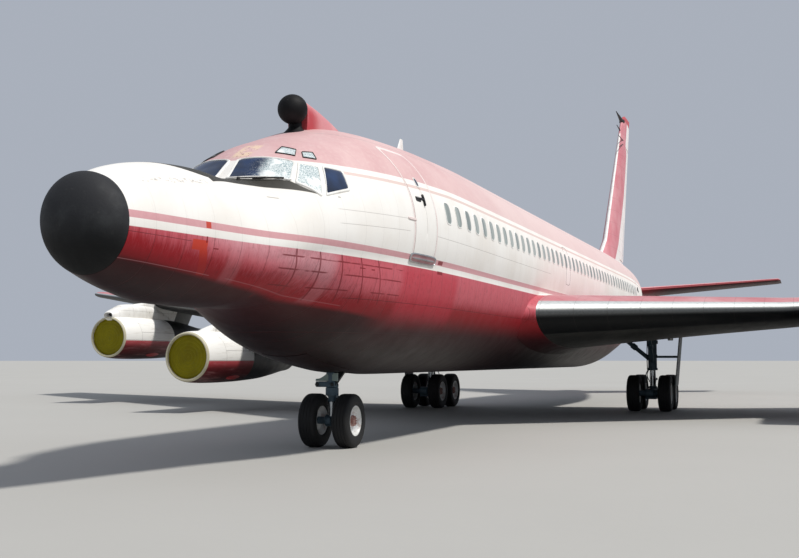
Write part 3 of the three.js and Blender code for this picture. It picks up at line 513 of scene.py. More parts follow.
def livery():
    """White, crown, line, stripe and belly by level. Chalk and dirt are noise drawn out down the side, and
    frames, laps and rivets are lines of the same pitch as the structure."""
    f = Finish("fuselage_paint")
    edge = 0.006
    port = f.over(f.x, 0.0, 0.1)

    def spot(fore, aft, low, high, soft=0.006):
        """A four-sided patch of the port side, between two stations and two heights."""
        return f.both(f.within(f.y, fore, aft, soft), f.within(f.z, low, high, soft), port)

    def sloped(fall):
        """The height plus fall for every metre aft of the wheel."""
        return f.plus(f.z, f.both(f.y, fall))

    ahead = f.most(f.less(1.0, f.y), 0.0)
    above = f.less(f.z, f.less(crown_level, f.both(ahead, crown_fall)))
    lifted = f.both(f.most(f.less(f.y, aft_rise[0]), 0.0), aft_rise[1])
    level = f.less(f.z, lifted)
    snout_rise = f.both(f.most(f.less(-2.9, f.y), 0.0), 0.12)
    under = f.less(level, snout_rise)
    blot = f.noise(0.9, 4.0)
    grain = f.noise(14.0, 3.0)
    runs = f.noise(1.0, 4.0, 0.65, (9.0, 22.0, 0.9))
    fine_runs = f.noise(1.0, 3.0, 0.6, (20.0, 70.0, 1.4))
    white = f.fade(blot, 0.35, 0.7, "#eeece8", "#e6e2dc")
    white = f.mix(f.over(runs, 0.55, 0.8, 0.3), white, "#d6cec7")
    pink = f.fade(blot, 0.3, 0.7, "#d6b5b4", "#cba3a4")
    pink = f.mix(f.over(grain, 0.45, 0.75, 0.4), pink, "#dcc3be")
    pink = f.mix(f.over(f.y, -1.0, 8.0, 0.65), pink, "#decdca")
    # Red: chalky at its upper edge, clear and streaked below, and darkened to near black under the belly as
    # painted shade
    chalk = f.plus(f.over(under, 2.18, 2.62), f.spread(runs, -0.35, 0.35))
    red = f.fade(chalk, 0.15, 1.05, "#93131e", "#c25c66")
    powdered = f.both(f.within(f.y, -5.35, -3.3, 0.5), f.over(under, 2.42, 2.72),
                      f.spread(runs, 0.5, 1.0), port)
    red = f.mix(powdered, red, "#dba3ab")
    light_run = f.both(f.over(fine_runs, 0.5, 0.68), f.over(under, 2.15, 2.6), 0.55)
    dark_run = f.both(f.over(fine_runs, 0.45, 0.3), f.over(under, 2.15, 2.5), 0.4)
    red = f.mix(dark_run, f.mix(light_run, red, "#bb6875"), "#5c0f1a")
    chalked = f.most(spot(-5.1, -4.92, 2.45, 2.93, 0.1),
                     f.both(spot(-3.18, -3.02, 2.3, 2.85, 0.09), 1.2))
    red = f.mix(f.both(chalked, 0.15), red, "#d6a3ab")
    fresh = f.both(spot(-0.9, 1.3, 2.15, 2.8, 0.3), f.spread(runs, 0.35, 0.95))
    red = f.mix(fresh, red, "#b5303f")
    # Painted shade: the red darkens to near black towards the belly, with a painted shadow edge along the
    # snout's lower side.
    red = f.fade(under, 2.3, 1.85, red, "#350d12")
    snout_shade = f.both(f.over(sloped(0.095), 1.985, 1.905), f.over(f.y, -0.9, -2.0), 0.85)
    red = f.mix(snout_shade, red, "#1c070a")
    red = f.fade(under, 2.0, 1.5, red, "#170708")
    red = f.mix(f.over(grain, 0.5, 0.8, 0.25), red, "#4a1418")
    colour = f.fade(level, belly_level + edge, belly_level - edge, white, red)
    stripe_pink = f.mix(grain, "#d4a5a8", "#c9949a")
    colour = f.mix(f.within(level, *stripe, edge), colour, stripe_pink)
    line_share = f.both(f.within(above, *pin_line, 2 * edge), f.over(f.y, -2.62, -2.6))
    colour = f.mix(line_share, colour, "#d9c4be")
    # Dull dark paint under the flight deck windows. It narrows to a point along the top of the snout
    side_off = f.size(f.x)
    corner_fall = f.both(f.most(f.less(side_off, 0.9), 0.0), 0.47)
    pane_foot = f.less(f.less(3.935, f.both(side_off, 0.03)), corner_fall)
    off_middle = f.plus(f.y, 4.05)
    sunk = f.both(off_middle, off_middle, 0.085)
    over_foot = f.less(f.plus(f.z, sunk), glare_level)
    before = f.both(f.over(over_foot, -edge, edge), f.within(f.y, -5.1, -3.27, 0.02),
                    f.over(f.less(f.z, pane_foot), edge, -edge))
    half_strip = f.spread(f.over(f.y, -6.2, -5.0), -0.01, 0.53)
    along = f.both(f.over(f.less(side_off, half_strip), 0.004, -0.004), f.over(f.z, 3.3, 3.4),
                   f.over(f.y, -5.05, -5.1))
    colour = f.mix(f.most(before, along), colour, f.mix(grain, "#34332f", "#403e39"))
    colour = f.fade(above, -edge, edge, colour, pink)
    # Fresh red where the snout was mended, in a square, a run below it and touches on the stripe
    mended = f.most(spot(-5.84, -5.58, 2.765, 2.88), spot(-5.62, -5.535, 3.035, 3.108),
                    f.both(f.within(f.plus(f.y, f.both(f.z, 0.4)), -4.594, -4.464, 0.012),
                           f.within(f.z, 2.49, 2.77, 0.02), port))
    colour = f.mix(f.both(mended, 0.9), colour, f.fade(f.z, 2.6, 2.85, "#9a1d1c", "#bf3a22"))
    marks = f.most(*(spot(*patch) for patch in (
        (-5.61, -5.59, 2.86, 2.93), (-5.46, -5.37, 2.795, 2.805), (-2.42, -2.27, 2.778, 2.788),
        (-2.09, -2.0, 2.772, 2.786), (0.34, 0.56, 3.045, 3.1, 0.01), (0.36, 0.6, 2.885, 2.93, 0.01))))
    colour = f.mix(f.both(marks, 0.85), colour, "#7a161d")
    # Cream primer with dark flecks where the crown has peeled over the windows
    peeled = f.both(f.within(f.y, -3.4, -3.02, 0.08), f.within(f.x, -0.05, 0.17, 0.05),
                    f.over(above, 0.0, 0.02))
    flaked = f.noise(7.0, 5.0, 0.7)
    colour = f.mix(f.both(peeled, f.over(flaked, 0.43, 0.5)), colour, "#dfc4ae")
    colour = f.mix(f.both(peeled, f.over(f.noise(26.0, 2.0), 0.62, 0.68)), colour, "#7a554c")
    # Scuffs along the snout's shoulder, and small grey scratches under the panes
    scuff = f.both(f.within(f.y, -6.5, -5.3, 0.1), f.within(sloped(-0.12), 4.265, 4.31, 0.015), port,
                   f.over(f.noise(1.0, 4.0, 0.7, (10.0, 14.0, 40.0)), 0.53, 0.62))
    scratches = f.most(scuff, spot(-4.13, -3.95, 3.605, 3.615), spot(-2.97, -2.92, 3.735, 3.75))
    colour = f.mix(f.both(scratches, 0.7), colour, "#8f8b87")
    # Structure: frames across, stringers that show through the red, laps and seams along
    frames = f.lines(f.y, frame_pitch, 0.009, 0.13)
    canted = f.plus(f.y, f.both(f.less(f.z, 2.93), 0.38))
    framed = f.both(spot(-4.2, -1.55, 2.3, 2.93, 0.03), f.lines(canted, frame_pitch, 0.022, 0.13))
    strung = f.both(spot(-4.15, -1.0, 2.3, 2.93, 0.05),
                    f.over(f.noise(1.0, 2.0, 0.5, (1.0, 2.4, 9.0)), 0.42, 0.5),
                    f.bands(f.z, 0.004, (2.826, 2.842), (2.655, 2.671), (2.445, 2.458)))
    inside_red = f.over(level, belly_level + edge, belly_level - edge)
    colour = f.mix(f.both(f.most(framed, strung), inside_red, 0.75), colour, "#73121b")
    aft_lap = f.both(f.within(f.z, 3.482, 3.489, 0.003), f.within(f.y, 0.06, 8.7, 0.02))
    fore_laps = f.both(f.most(f.within(sloped(-0.045), 3.697, 3.703, 0.003),
                              f.within(sloped(-0.05), 3.51, 3.516, 0.003)),
                       f.within(f.y, -3.0, -1.05, 0.1), port)
    laps = f.most(aft_lap, fore_laps, f.within(level, 1.86, 1.868, 0.004), f.within(f.z, 4.965, 4.972, 0.004),
                  f.both(f.within(sloped(0.02), 2.733, 2.739, 0.003), f.over(f.y, -5.85, -5.87)),
                  f.both(f.within(level, 2.345, 2.352, 0.004), f.over(f.y, -2.6, -2.5)))
    joints = f.most(f.both(frames, f.spread(inside_red, 0.13, 0.4)),
                    f.both(laps, f.spread(inside_red, 0.45, 0.5)))
    colour = f.mix(joints, colour, f.mix(inside_red, "#8f8a86", "#3c0d10"))
    mouldings = f.most(f.both(f.within(sloped(0.065), 2.135, 2.14, 0.003), f.over(f.y, -5.34, -5.36)),
                       f.both(f.within(sloped(0.092), 2.005, 2.013, 0.003),
                              f.within(f.y, -5.0, -2.5, 0.05), 0.6))
    colour = f.mix(f.both(mouldings, 0.45), colour, "#b98085")
    off_frame = f.number("PINGPONG", f.less(f.y, 0.13), frame_pitch / 2)
    rivets = f.both(f.over(f.size(f.less(off_frame, 0.025)), 0.006, 0.003), f.lines(f.z, 0.05, 0.005))
    waves = f.bump(f.noise(1.6, 1.0), 0.009)
    relief = f.bump(f.plus(joints, f.both(rivets, -0.4)), -0.003, waves)
    roughness = f.spread(f.noise(3.0, 4.0), 0.38, 0.62)
    return f.done(colour, roughness, relief, Specular_IOR_Level=0.22)


def add_piece(name, shells, finishes, slot, replaces=(), smooth_to=40.0, body="root"):
    """One object of several closed shells that rides on a body. slot, which would say which kind of finish it
    has, is not used. replaces names the nodes it stands for."""
    shells = shells if isinstance(shells, list) else [shells]
    finishes = finishes if isinstance(finishes, list) else [finishes]
    points, faces, paints, fit = [], [], [], []
    start = 0
    for shell in shells:
        points.append(shell["points"])
        for f in shell["faces"]:
            faces.append(f + start)
            paints.append(np.full(len(f), shell["paint"]))
        own = shell["fit"]
        fit.append(np.zeros_like(shell["points"]) if own is None else own)
        start += len(shell["points"])
    mesh = mesh_from(name, np.concatenate(points), faces, np.concatenate(paints),
                     np.concatenate(fit), smooth_to)
    for finish in finishes:
        mesh.materials.append(finish)
    piece = bpy.data.objects.new(name, mesh)
    bpy.context.scene.collection.objects.link(piece)
    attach(piece, body)
    if replaces:
        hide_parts(*([replaces] if isinstance(replaces, str) else replaces))
    return piece


fuselage_paint = livery()
add_piece("fuselage", hull_shell(), fuselage_paint, "white_paint",
          ("fuselage_forward", "fuselage_centre", "fuselage_aft", "nose_fairing"), smooth_to=30.0)


def plain_finish(name, colour, worn, roughness, metallic=0.0, scale=3.0, relief=0.002, shine=0.4):
    """A paint, metal or rubber with soft patches of its worn tone, a fine grain and an uneven gloss."""
    f = Finish(name)
    patches = f.over(f.noise(scale, 5.0, 0.6), 0.4, 0.72)
    grain = f.noise(scale * 14, 3.0)
    tone = f.mix(f.both(patches, 0.6), colour, worn)
    tone = f.mix(f.over(grain, 0.5, 0.85, 0.3), tone, worn)
    gloss = f.spread(f.noise(scale * 4, 3.0), roughness * 0.8, min(1.0, roughness * 1.25))
    return f.done(tone, gloss, f.bump(grain, relief), metallic, Specular_IOR_Level=shine)


# Nose dome
# A moulded dome that lets radio waves through, sprayed matt black and chafed by rain, with a thin seam where
# it closes on the snout's ring.
dome = {"ring": -6.87, "level": 2.975, "half": 0.552, "high": 0.572, "tip": -7.26, "tip_level": 3.065}


def dome_shell():
    """An ellipsoid's front half in 26 rings, lifted towards its tip, and a lip that turns in behind it."""
    turn = np.linspace(0.05, math.pi / 2, 26)[:, None]
    lift = (dome["tip_level"] - dome["level"]) * np.cos(turn)
    angle = full_turn(96)[None, :]
    reach = dome["ring"] - dome["tip"]
    front = np.stack([dome["half"] * np.sin(turn) * np.cos(angle),
                      dome["ring"] - reach * np.cos(turn) + 0 * angle,
                      dome["level"] + lift + dome["high"] * np.sin(turn) * np.sin(angle)], -1)
    lip = front[-1:] + (0, 0.012, 0)
    middle = np.array([0, dome["ring"], dome["level"]])
    inside = (lip - middle) * (0.97, 1, 0.97) + middle
    return closed(np.concatenate([front, lip, inside]), poles=((0, dome["tip"], dome["tip_level"]), None))


f = Finish("radome_black")
chafe = f.over(f.noise(2.2, 6.0, 0.65), 0.45, 0.75)
rain = f.noise(1.0, 4.0, 0.6, (9.0, 2.0, 9.0))
tone = f.mix(chafe, "#2c2d30", "#3a3c3e")
tone = f.mix(f.over(rain, 0.62, 0.78, 0.35), tone, "#5a5a57")
# Painted shade: the dome's lower part goes near black.
tone = f.mix(f.over(f.z, 3.1, 2.65, 0.9), tone, "#0b0c0d")
radome_black = f.done(tone, f.spread(rain, 0.55, 0.8), f.bump(f.noise(40.0), 0.0015), Specular_IOR_Level=0.2)
add_piece("nose_dome_shell", dome_shell(), radome_black, "black_radome", "nose_dome")


# Flight deck windows
# Flat glass in white-painted frames bolted round the nose, with two small panes over the pilots' heads on
# each side. Silver shades hang behind some of them, and a wiper lies under the front pane.


def painted(shell, number):
    """The same shell with the number of its finish in the piece's list."""
    return {**shell, "paint": number}


def mirror(shell):
    """The same on the other side: x changes sign, and every face runs the other way."""
    return {**shell, "points": shell["points"] * (-1, 1, 1), "faces": [f[:, ::-1] for f in shell["faces"]]}


def rounded(power, count):
    """A closed curve between a circle and a square: across^power + up^power = 1."""
    angle = full_turn(count) + math.pi / count
    c, s = np.cos(angle), np.sin(angle)
    return np.stack([np.sign(c) * np.abs(c) ** (2 / power), np.sign(s) * np.abs(s) ** (2 / power)], -1)


def evenly(outline, count):
    """The same closed curve through count points that are the same way apart."""
    ring = np.concatenate([outline, outline[:1]])
    way = np.concatenate([[0], np.cumsum(np.linalg.norm(np.diff(ring, axis=0), axis=1))])
    spots = np.linspace(0, way[-1], count, endpoint=False)
    return np.stack([np.interp(spots, way, ring[:, k]) for k in range(ring.shape[1])], -1)


def girth_of(point):
    """The girth of the skin point nearest to a point, at its station."""
    x, station, height = point
    trial = np.linspace(-2.0, 2.0, 4001)
    line = skin(np.full(4001, station), trial)
    return trial[np.argmin((line[:, 0] - x) ** 2 + (line[:, 2] - height) ** 2)]


def four_cornered(corners, count=64, power=26.0):
    """Station and girth round a pane: the rounded square stretched between its four corners, and brought
    down to the skin square to the pane. Four of Newton's steps on station and girth clear the offsets along
    the pane's two edges."""
    u, v = ((evenly(rounded(power, 720), count) + 1) / 2).T
    weights = np.stack([(1 - u) * (1 - v), (1 - u) * v, u * v, u * (1 - v)], -1)
    flat = weights @ np.array(corners)
    edges = np.array([corners[1], corners[3]]) - np.array(corners[0])
    spots = np.array([(p[1], girth_of(p)) for p in flat])
    for _ in range(4):
        place = skin(*spots.T)
        slopes = np.stack([skin(*(spots + step).T) - place for step in ((0.002, 0), (0, 0.002))], -1) / 0.002
        spots = spots + np.linalg.solve(edges @ slopes, (edges @ (flat - place)[..., None]))[..., 0]
    return spots


def on_skin(outline, rows, place, looped=False):
    """A panel or hoop laid on a surface. Each row gives the share of the outline's size, lengthwise and
    across, and the lift off the surface."""
    centre = (outline.max(0) + outline.min(0)) / 2
    rings = [place(*(centre + (outline - centre) * (a, b)).T, lift) for a, b, lift in rows]
    return closed(np.stack(rings), looped=looped)


def pane_of(corners):
    """A pane that stands 6 mm off the skin at its edge and 9 mm inside it."""
    rows = [(0.5, 0.5, -0.02), (1, 1, -0.02), (1, 1, 0.006), (0.96, 0.96, 0.009),
            *((share, share, 0.009) for share in (0.75, 0.5, 0.25))]
    return on_skin(four_cornered(corners), rows, skin)


def frame_of(corners, wide):
    """The hoop round a pane. Its outside stands wide metres out, so its share differs along and across."""
    outline = four_cornered(corners)
    ends = skin(*np.array([outline.min(0), outline.max(0)]).T)
    long = max(abs(ends[1, 1] - ends[0, 1]), 0.25)
    tall = max(np.linalg.norm((ends[1] - ends[0])[[0, 2]]), 0.25)
    a, b = 1 + 2 * wide / long, 1 + 2 * wide / tall
    soft_a, soft_b = 1 + 1.4 * wide / long, 1 + 1.4 * wide / tall
    rows = [(a, b, -0.01), (a, b, 0.008), (soft_a, soft_b, 0.018), (1.02, 1.02, 0.018), (0.985, 0.985, 0.01),
            (0.985, 0.985, -0.01)]
    return on_skin(outline, rows, skin, looped=True)


def smoothed(rows, count):
    """A path drawn evenly through its rows, each coordinate faired along the length of the way."""
    step = np.linalg.norm(np.diff(rows, axis=0), axis=1)
    way = np.concatenate([[0], np.cumsum(step)])
    table = np.concatenate([way[:, None], rows], 1)
    spots = np.unique(np.concatenate([way, np.linspace(0, way[-1], count)]))
    return faired(table, spots)


def pipe(path, radius, sides=10, count=40):
    """A thin pipe along a faired path. Its ring is carried square to the path and kept upright."""
    line = smoothed(np.asarray(path, float), count)
    along = unit(np.gradient(line, axis=0))
    side = unit(np.cross(along, (0.31, 0.17, 0.94)))
    other = np.cross(along, side)
    angle = full_turn(sides)[None, :, None]
    return closed(line[:, None] + radius * (np.cos(angle) * side[:, None] + np.sin(angle) * other[:, None]))


def lathed(profile, centre, sides, axis):
    """A profile of (along, radius) rows turned about an axis through centre: 0 is x, 1 is y and 2 is z."""
    angle = full_turn(sides)
    along = np.asarray(profile, float)[:, 0, None] + 0 * angle
    radius = np.asarray(profile, float)[:, 1, None]
    parts = [along, radius * np.cos(angle), radius * np.sin(angle)]
    grid = np.stack([parts[(k - axis) % 3] for k in range(3)], -1)
    return grid + np.asarray(centre, float)


# Corners of each pane: x, station, height. The port side; the other side mirrors them.
front_pane = [(0.115, -3.87, 3.925), (0.08, -3.5, 4.25), (0.8, -3.235, 4.22), (0.9, -3.565, 3.912)]
second_pane = [(0.985, -3.52, 3.885), (0.87, -3.195, 4.206), (1.048, -2.977, 4.184), (1.25, -3.305, 3.728)]
third_pane = [(1.285, -3.19, 3.765), (1.095, -2.865, 4.196), (1.242, -2.557, 4.177), (1.385, -2.65, 3.905)]
brow_fore = [(0.494, -3.192, 4.39), (0.473, -2.946, 4.523), (0.665, -2.885, 4.484), (0.734, -3.069, 4.355)]
brow_aft = [(0.833, -2.987, 4.341), (0.756, -2.864, 4.444), (0.848, -2.711, 4.458), (0.958, -2.823, 4.334)]


def glass_finish(name, shade_from=None, all_shade=False):
    """Dark glass. A crumpled silver shade shows behind it, all over or from one x outwards."""
    f = Finish(name)
    deep = f.mottled(0.3, 0.7, "#0a1830", "#18325a", 2.5, 2.0)
    crumple = f.specks(62.0, (1.0, 1.0, 1.6))
    shade = f.fade(crumple, 0.25, 0.75, "#f4f8f7", "#8da2a6")
    shade = f.mix(f.over(f.noise(24.0, 4.0), 0.56, 0.64), shade, "#aebfc2")
    shade = f.mix(f.over(f.noise(4.0, 2.0), 0.52, 0.66), shade, "#f1f5f4")
    if all_shade:
        tone = shade
    elif shade_from is not None:
        uneven = f.plus(f.size(f.x), f.spread(f.noise(9.0, 4.0), -0.12, 0.12))
        sparkle = f.both(f.over(crumple, 0.3, 0.12), f.over(uneven, shade_from - 0.22, shade_from + 0.1))
        share = f.most(f.over(uneven, shade_from - 0.05, shade_from + 0.14), sparkle)
        tone = f.mix(f.both(share, f.over(f.x, -0.02, 0.02)), deep, shade)
    else:
        tone = deep
    return f.done(tone, 0.08, f.bump(f.noise(1.2, 1.0), 0.004), Coat_Weight=0.25, Coat_Roughness=0.03)


clear_glass = glass_finish("clear_glass")
half_shaded = glass_finish("half_shaded_glass", shade_from=0.45)
shaded_glass = glass_finish("shaded_glass", all_shade=True)
seal_black = plain_finish("seal_black", "#201f20", "#33312f", 0.6)
window_frame_white = plain_finish("window_frame_white", "#efeeea", "#cfccc4", 0.42)
panes, frames = [], []
# Columns: pane, its glass, width of its frame, the frame's paint
window_table = [(front_pane, 1, 0.035, 0), (second_pane, 2, 0.035, 0), (third_pane, 0, 0.035, 0),
                (brow_fore, 2, 0.012, 1), (brow_aft, 2, 0.012, 1)]
for corners, paint, wide, trim in window_table:
    pane, hoop = pane_of(corners), painted(frame_of(corners, wide), trim)
    panes += [painted(pane, paint), painted(mirror(pane), paint if paint != 1 else 0)]
    frames += [hoop, mirror(hoop)]
add_piece("flight_deck_glass", panes, [clear_glass, half_shaded, shaded_glass], "window_glass",
          "cockpit_window_band")
add_piece("flight_deck_frames", frames, [window_frame_white, seal_black], "white_paint")
wiper_arm = [(0.31, -3.94, 3.9), (0.4, -3.88, 3.935), (0.52, -3.82, 3.945), (0.64, -3.75, 3.94)]
wiper_blade = [(0.48, -3.845, 3.935), (0.6, -3.775, 3.935), (0.72, -3.7, 3.93), (0.83, -3.62, 3.925)]
wiper_shells = []
for path, lift, radius in ((wiper_arm, 0.035, 0.008), (wiper_blade, 0.024, 0.013)):
    line = np.array([skin(p[1], girth_of(p), lift) for p in path])
    wiper_shells.append(pipe(line, radius, count=20))
pivot = skin(-3.94, girth_of(wiper_arm[0]), 0.0)
wiper_shells.append(closed(lathed([(-0.02, 0.028), (0.03, 0.026), (0.045, 0.018)], pivot, 20, 2)))
add_piece("wipers", wiper_shells + [mirror(s) for s in wiper_shells], seal_black, "black_radome")


# Doors
# Plug doors of the cabin: each fills a rounded hole in the skin, with a dark gap all round, a small round
# porthole and a flush handle. The left ones have a bright threshold plate under them.
full_door = 1.8              # height of a door whose fittings stand at the levels given below
# Columns: node, side, fore edge, sill, width, height
doors = [
    ("door_forward_left", 1, -0.8, 3.04, 0.864, 1.8),
    ("door_aft_left", 1, 24.3, 3.08, 0.864, 1.76),
    ("door_forward_right", -1, -0.7, 3.08, 0.76, 1.38),
    ("door_aft_right", -1, 24.35, 3.1, 0.72, 1.3),
]


def beside(side):
    """Places station and height on one side of the skin."""
    def place(station, height, lift):
        return skin(station, girth_at(station, height, side), lift)
    return place


def laid(fore, low, width, height, side, insets, power=12.0, count=64, looped=False):
    """A rounded rectangle on the fuselage's side. Each inset row is metres in from the edge, and the lift."""
    middle = (fore + width / 2, low + height / 2)
    outline = evenly(rounded(power, 720) * (width / 2, height / 2), count) + middle
    rows = [(max(1 - 2 * d / width, 0.02), max(1 - 2 * d / height, 0.02), lift) for d, lift in insets]
    return on_skin(outline, rows, beside(side), looped)


gap_black = plain_finish("exit_gap", "#6d605c", "#3b3431", 0.8)
f = Finish("door_gap")
door_gap = f.done(f.fade(f.z, 4.25, 4.42, f.mix(f.noise(6.0), "#8f645f", "#6e4743"), "#e3d2cf"), 0.7)
door_edge_paint = plain_finish("door_edge_paint", "#eadfdc", "#d9c2be", 0.5)
tray_pink = plain_finish("tray_pink", "#b98a8c", "#8d5a5e", 0.5)
bright_metal = plain_finish("bright_metal", "#b9bcbd", "#7f8385", 0.32, 0.85)
black_fitting = plain_finish("black_fitting", "#1a1b1d", "#2e2f31", 0.5)
# Columns: place aft of the door's edge, place over the handle's level, length, height, insets, power, points
handle_table = [
    (0.13, 0.045, 0.2, 0.085,
     [(0.03, -0.02), (0.0, -0.02), (0.0, 0.012), (0.014, 0.012), (0.03, 0.012)], 4.0, 32),
    (0.28, 0.09, 0.17, 0.03, [(0.01, 0.0), (0.0, 0.0), (0.0, 0.026), (0.006, 0.032)], 4.0, 24),
    (0.425, 0.0, 0.035, 0.19, [(0.012, 0.0), (0.0, 0.0), (0.0, 0.03), (0.008, 0.036)], 3.0, 24),
    (0.15, 0.1, 0.13, 0.022, [(0.01, 0.0), (0.0, 0.0), (0.0, 0.024), (0.006, 0.03)], 3.0, 24),
]
for node, side, fore, sill, width, height in doors:
    share = height / full_door
    gap = laid(fore - 0.012, sill - 0.012, width + 0.024, height + 0.024, side,
               [(0.0, -0.03), (0.0, 0.002), (0.014, 0.002), (0.014, -0.03)], count=160, looped=True)
    edge = laid(fore - 0.05, sill - 0.05, width + 0.1, height + 0.1, side,
                [(0.0, -0.01), (0.0, 0.0035), (0.038, 0.0035), (0.038, -0.01)], count=160, looped=True)
    leaf = laid(fore, sill, width, height, side,
                [(0.3, -0.03), (0.0, -0.03), (0.0, 0.004), (0.012, 0.01), (0.1, 0.01), (0.2, 0.01),
                 (0.3, 0.01), (0.4, 0.01)], count=160)
    add_piece(f"{node}_leaf", leaf, fuselage_paint, "white_paint", node, smooth_to=30.0)
    hinge_cover = laid(fore - 0.28, sill + 0.6 * share, 0.3, 0.045, side,
                       [(0.015, -0.01), (0.0, -0.01), (0.0, 0.008), (0.008, 0.016), (0.018, 0.016)], 6.0, 32)
    add_piece(f"{node}_seal", [gap, painted(edge, 1), painted(hinge_cover, 1)], [door_gap, door_edge_paint],
              "white_paint")
    port = laid(fore + 0.37, sill + 1.21 * share, 0.09, 0.13, side,
                [(0.03, -0.02), (0.0, -0.02), (0.0, 0.012), (0.012, 0.013), (0.03, 0.012)], 2.6, 32)
    rim = laid(fore + 0.352, sill + 1.192 * share, 0.126, 0.166, side,
               [(0.0, -0.01), (0.0, 0.016), (0.016, 0.018), (0.02, -0.01)], 2.6, 32, looped=True)
    add_piece(f"{node}_porthole", [port, painted(rim, 1)], [clear_glass, window_frame_white], "window_glass")
    handle_level = sill + 0.89 * share
    recess, arm, lever, grip = (
        laid(fore + aft, handle_level + up, long, tall, side, insets, power, count)
        for aft, up, long, tall, insets, power, count in handle_table)
    add_piece(f"{node}_handle", [recess, arm, lever, painted(grip, 1)], [black_fitting, bright_metal],
              "bare_metal")
    if side > 0:
        tray = (fore - 0.1, sill - 0.045, width + 0.2, 0.15)
        floor_plate = laid(*tray, side,
                           [(0.05, -0.02), (0.0, -0.02), (0.0, 0.006), (0.02, 0.014), (0.06, 0.014)], 5.0)
        lip = laid(*tray, side, [(0.0, -0.01), (-0.006, 0.018), (0.012, 0.028), (0.022, 0.01)], 5.0,
                   looped=True)
        step = laid(fore - 0.03, sill + 0.015, width + 0.06, 0.026, side,
                    [(0.01, -0.01), (0.0, -0.01), (0.0, 0.024), (0.008, 0.03)], 4.0, 48)
        add_piece(f"{node}_threshold", [painted(floor_plate, 1), lip, step], [bright_metal, tray_pink],
                  "bare_metal")


# Cabin windows
# A row of small rounded panes along each side, each in its own white retaining ring. The pane's grey stands
# partly for a drawn blind and partly for a painted reflection of the sky. An emergency exit over each wing is
# marked by its dark gap.
window_level = 3.944
window_size = (0.25, 0.355)
window_at = np.concatenate([[0.71, 1.26, 1.83, 2.36, 2.9], np.arange(3.433, 23.95, frame_pitch)])
# Painted reflection: each pane is a flat grey, partly a blind and partly the sky's reflection.
f = Finish("cabin_pane")
each = f.noise(1.0, 0.0, 0.5, (0.0, 3.1, 0.0))
cabin_pane = f.done(f.fade(each, 0.35, 0.65, "#7a8482", "#a5ada9"),
                    0.3, Coat_Weight=0.1, Coat_Roughness=0.08)
cabin_ring = plain_finish("cabin_ring", "#f2f1ee", "#c9c4bb", 0.45)
glass_rows = [(0.0, -0.02), (0.0, 0.003), (0.03, 0.006), (0.08, 0.006), (0.12, 0.006)]
ring_rows = [(0.0, -0.01), (0.006, 0.008), (0.022, 0.008), (0.024, -0.01)]
ring_out = 0.022
glass_shells, ring_shells = [], []
for station in window_at:
    for side in (1, -1):
        low = window_level - window_size[1] / 2
        fore = station - window_size[0] / 2
        glass_shells.append(laid(fore, low, *window_size, side, glass_rows, 4.0, 24))
        ring_shells.append(laid(fore - ring_out, low - ring_out, window_size[0] + 2 * ring_out,
                                window_size[1] + 2 * ring_out, side, ring_rows, 4.0, 24, looped=True))
add_piece("cabin_windows", glass_shells, cabin_pane, "window_glass")
add_piece("cabin_window_rings", ring_shells, cabin_ring, "white_paint")
exit_rows = [(0.0, -0.01), (0.0, 0.002), (0.008, 0.002), (0.008, -0.01)]
exit_shells = [laid(10.5, 3.35, 0.51, 0.965, side, exit_rows, 9.0, looped=True) for side in (1, -1)]
add_piece("overwing_exit_gaps", exit_shells, gap_black, "white_paint")


# Roof ball
# A housing on the flight deck roof, moulded in one with its flared neck and painted matt black, with a
# pink sheet fairing behind it that sinks into the crown.
ball = {"station": -1.61, "height": 5.385, "radius": 0.236, "neck": -1.51, "foot": 4.93}
# Columns: height, radius of the neck
neck_rows = np.array([[4.93, 0.27], [5.01, 0.2], [5.07, 0.14], [5.12, 0.106], [5.21, 0.1]])
globe = np.linspace(0.08, 3.06, 32)
globe_profile = np.stack([ball["height"] + ball["radius"] * np.cos(globe),
                          ball["radius"] * np.sin(globe)], -1)
neck_heights = np.linspace(5.205, ball["foot"], 12)
neck_profile = np.stack([neck_heights, faired(neck_rows, neck_heights)[:, 0]], -1)
ball_grid = lathed(globe_profile, (0, ball["station"], 0), 48, 2)
neck_grid = lathed(neck_profile, (0, ball["neck"], 0), 48, 2)
f = Finish("ball_black")
scratch = f.over(f.noise(1.0, 6.0, 0.7, (8.0, 8.0, 26.0)), 0.62, 0.7)
tone = f.mottled(0.4, 0.7, "#0d0d0f", "#161618", 5.0, 4.0)
tone = f.mix(f.both(scratch, f.over(f.z, 5.35, 5.55), 0.8), tone, "#77767a")
ball_black = f.done(tone, f.spread(f.noise(8.0), 0.5, 0.75), f.bump(f.noise(45.0), 0.001),
                    Specular_IOR_Level=0.2)
ball_tips = [(0, ball["station"], ball["height"] + side * ball["radius"]) for side in (1, -1)]
add_piece("roof_ball_housing", [closed(ball_grid, poles=ball_tips), closed(neck_grid)], ball_black,
          "black_radome", "roof_ball")

# Columns as for the hull
fairing_rows = np.array([
    [-1.42, 0.17, 5.33, 5.6, 4.6, 0.0],
    [-0.9, 0.16, 5.2, 5.56, 4.6, 0.0],
    [-0.3, 0.13, 5.1, 5.48, 4.7, 0.0],
    [0.5, 0.055, 5.08, 5.33, 4.9, 0.0],
])
f = Finish("fairing_pink")
red_share = f.both(f.over(f.y, -0.75, -1.25), f.over(f.z, 5.6, 5.35), f.over(f.noise(3.0), 0.05, 0.4))
tone = f.mottled(0.35, 0.7, "#cb8489", "#d39a9b", 3.0, 4.0)
tone = f.mix(f.both(red_share, 0.9), tone, "#b02c35")
tone = f.mix(f.both(f.lines(f.y, 0.42, 0.006, 0.1), 0.4), tone, "#8a5350")
fairing_pink = f.done(tone, 0.55, f.bump(f.noise(30.0), 0.001))
fairing_at = np.linspace(-1.42, 0.5, 34)
fairing_girth = np.linspace(-2, 2, 56, endpoint=False)
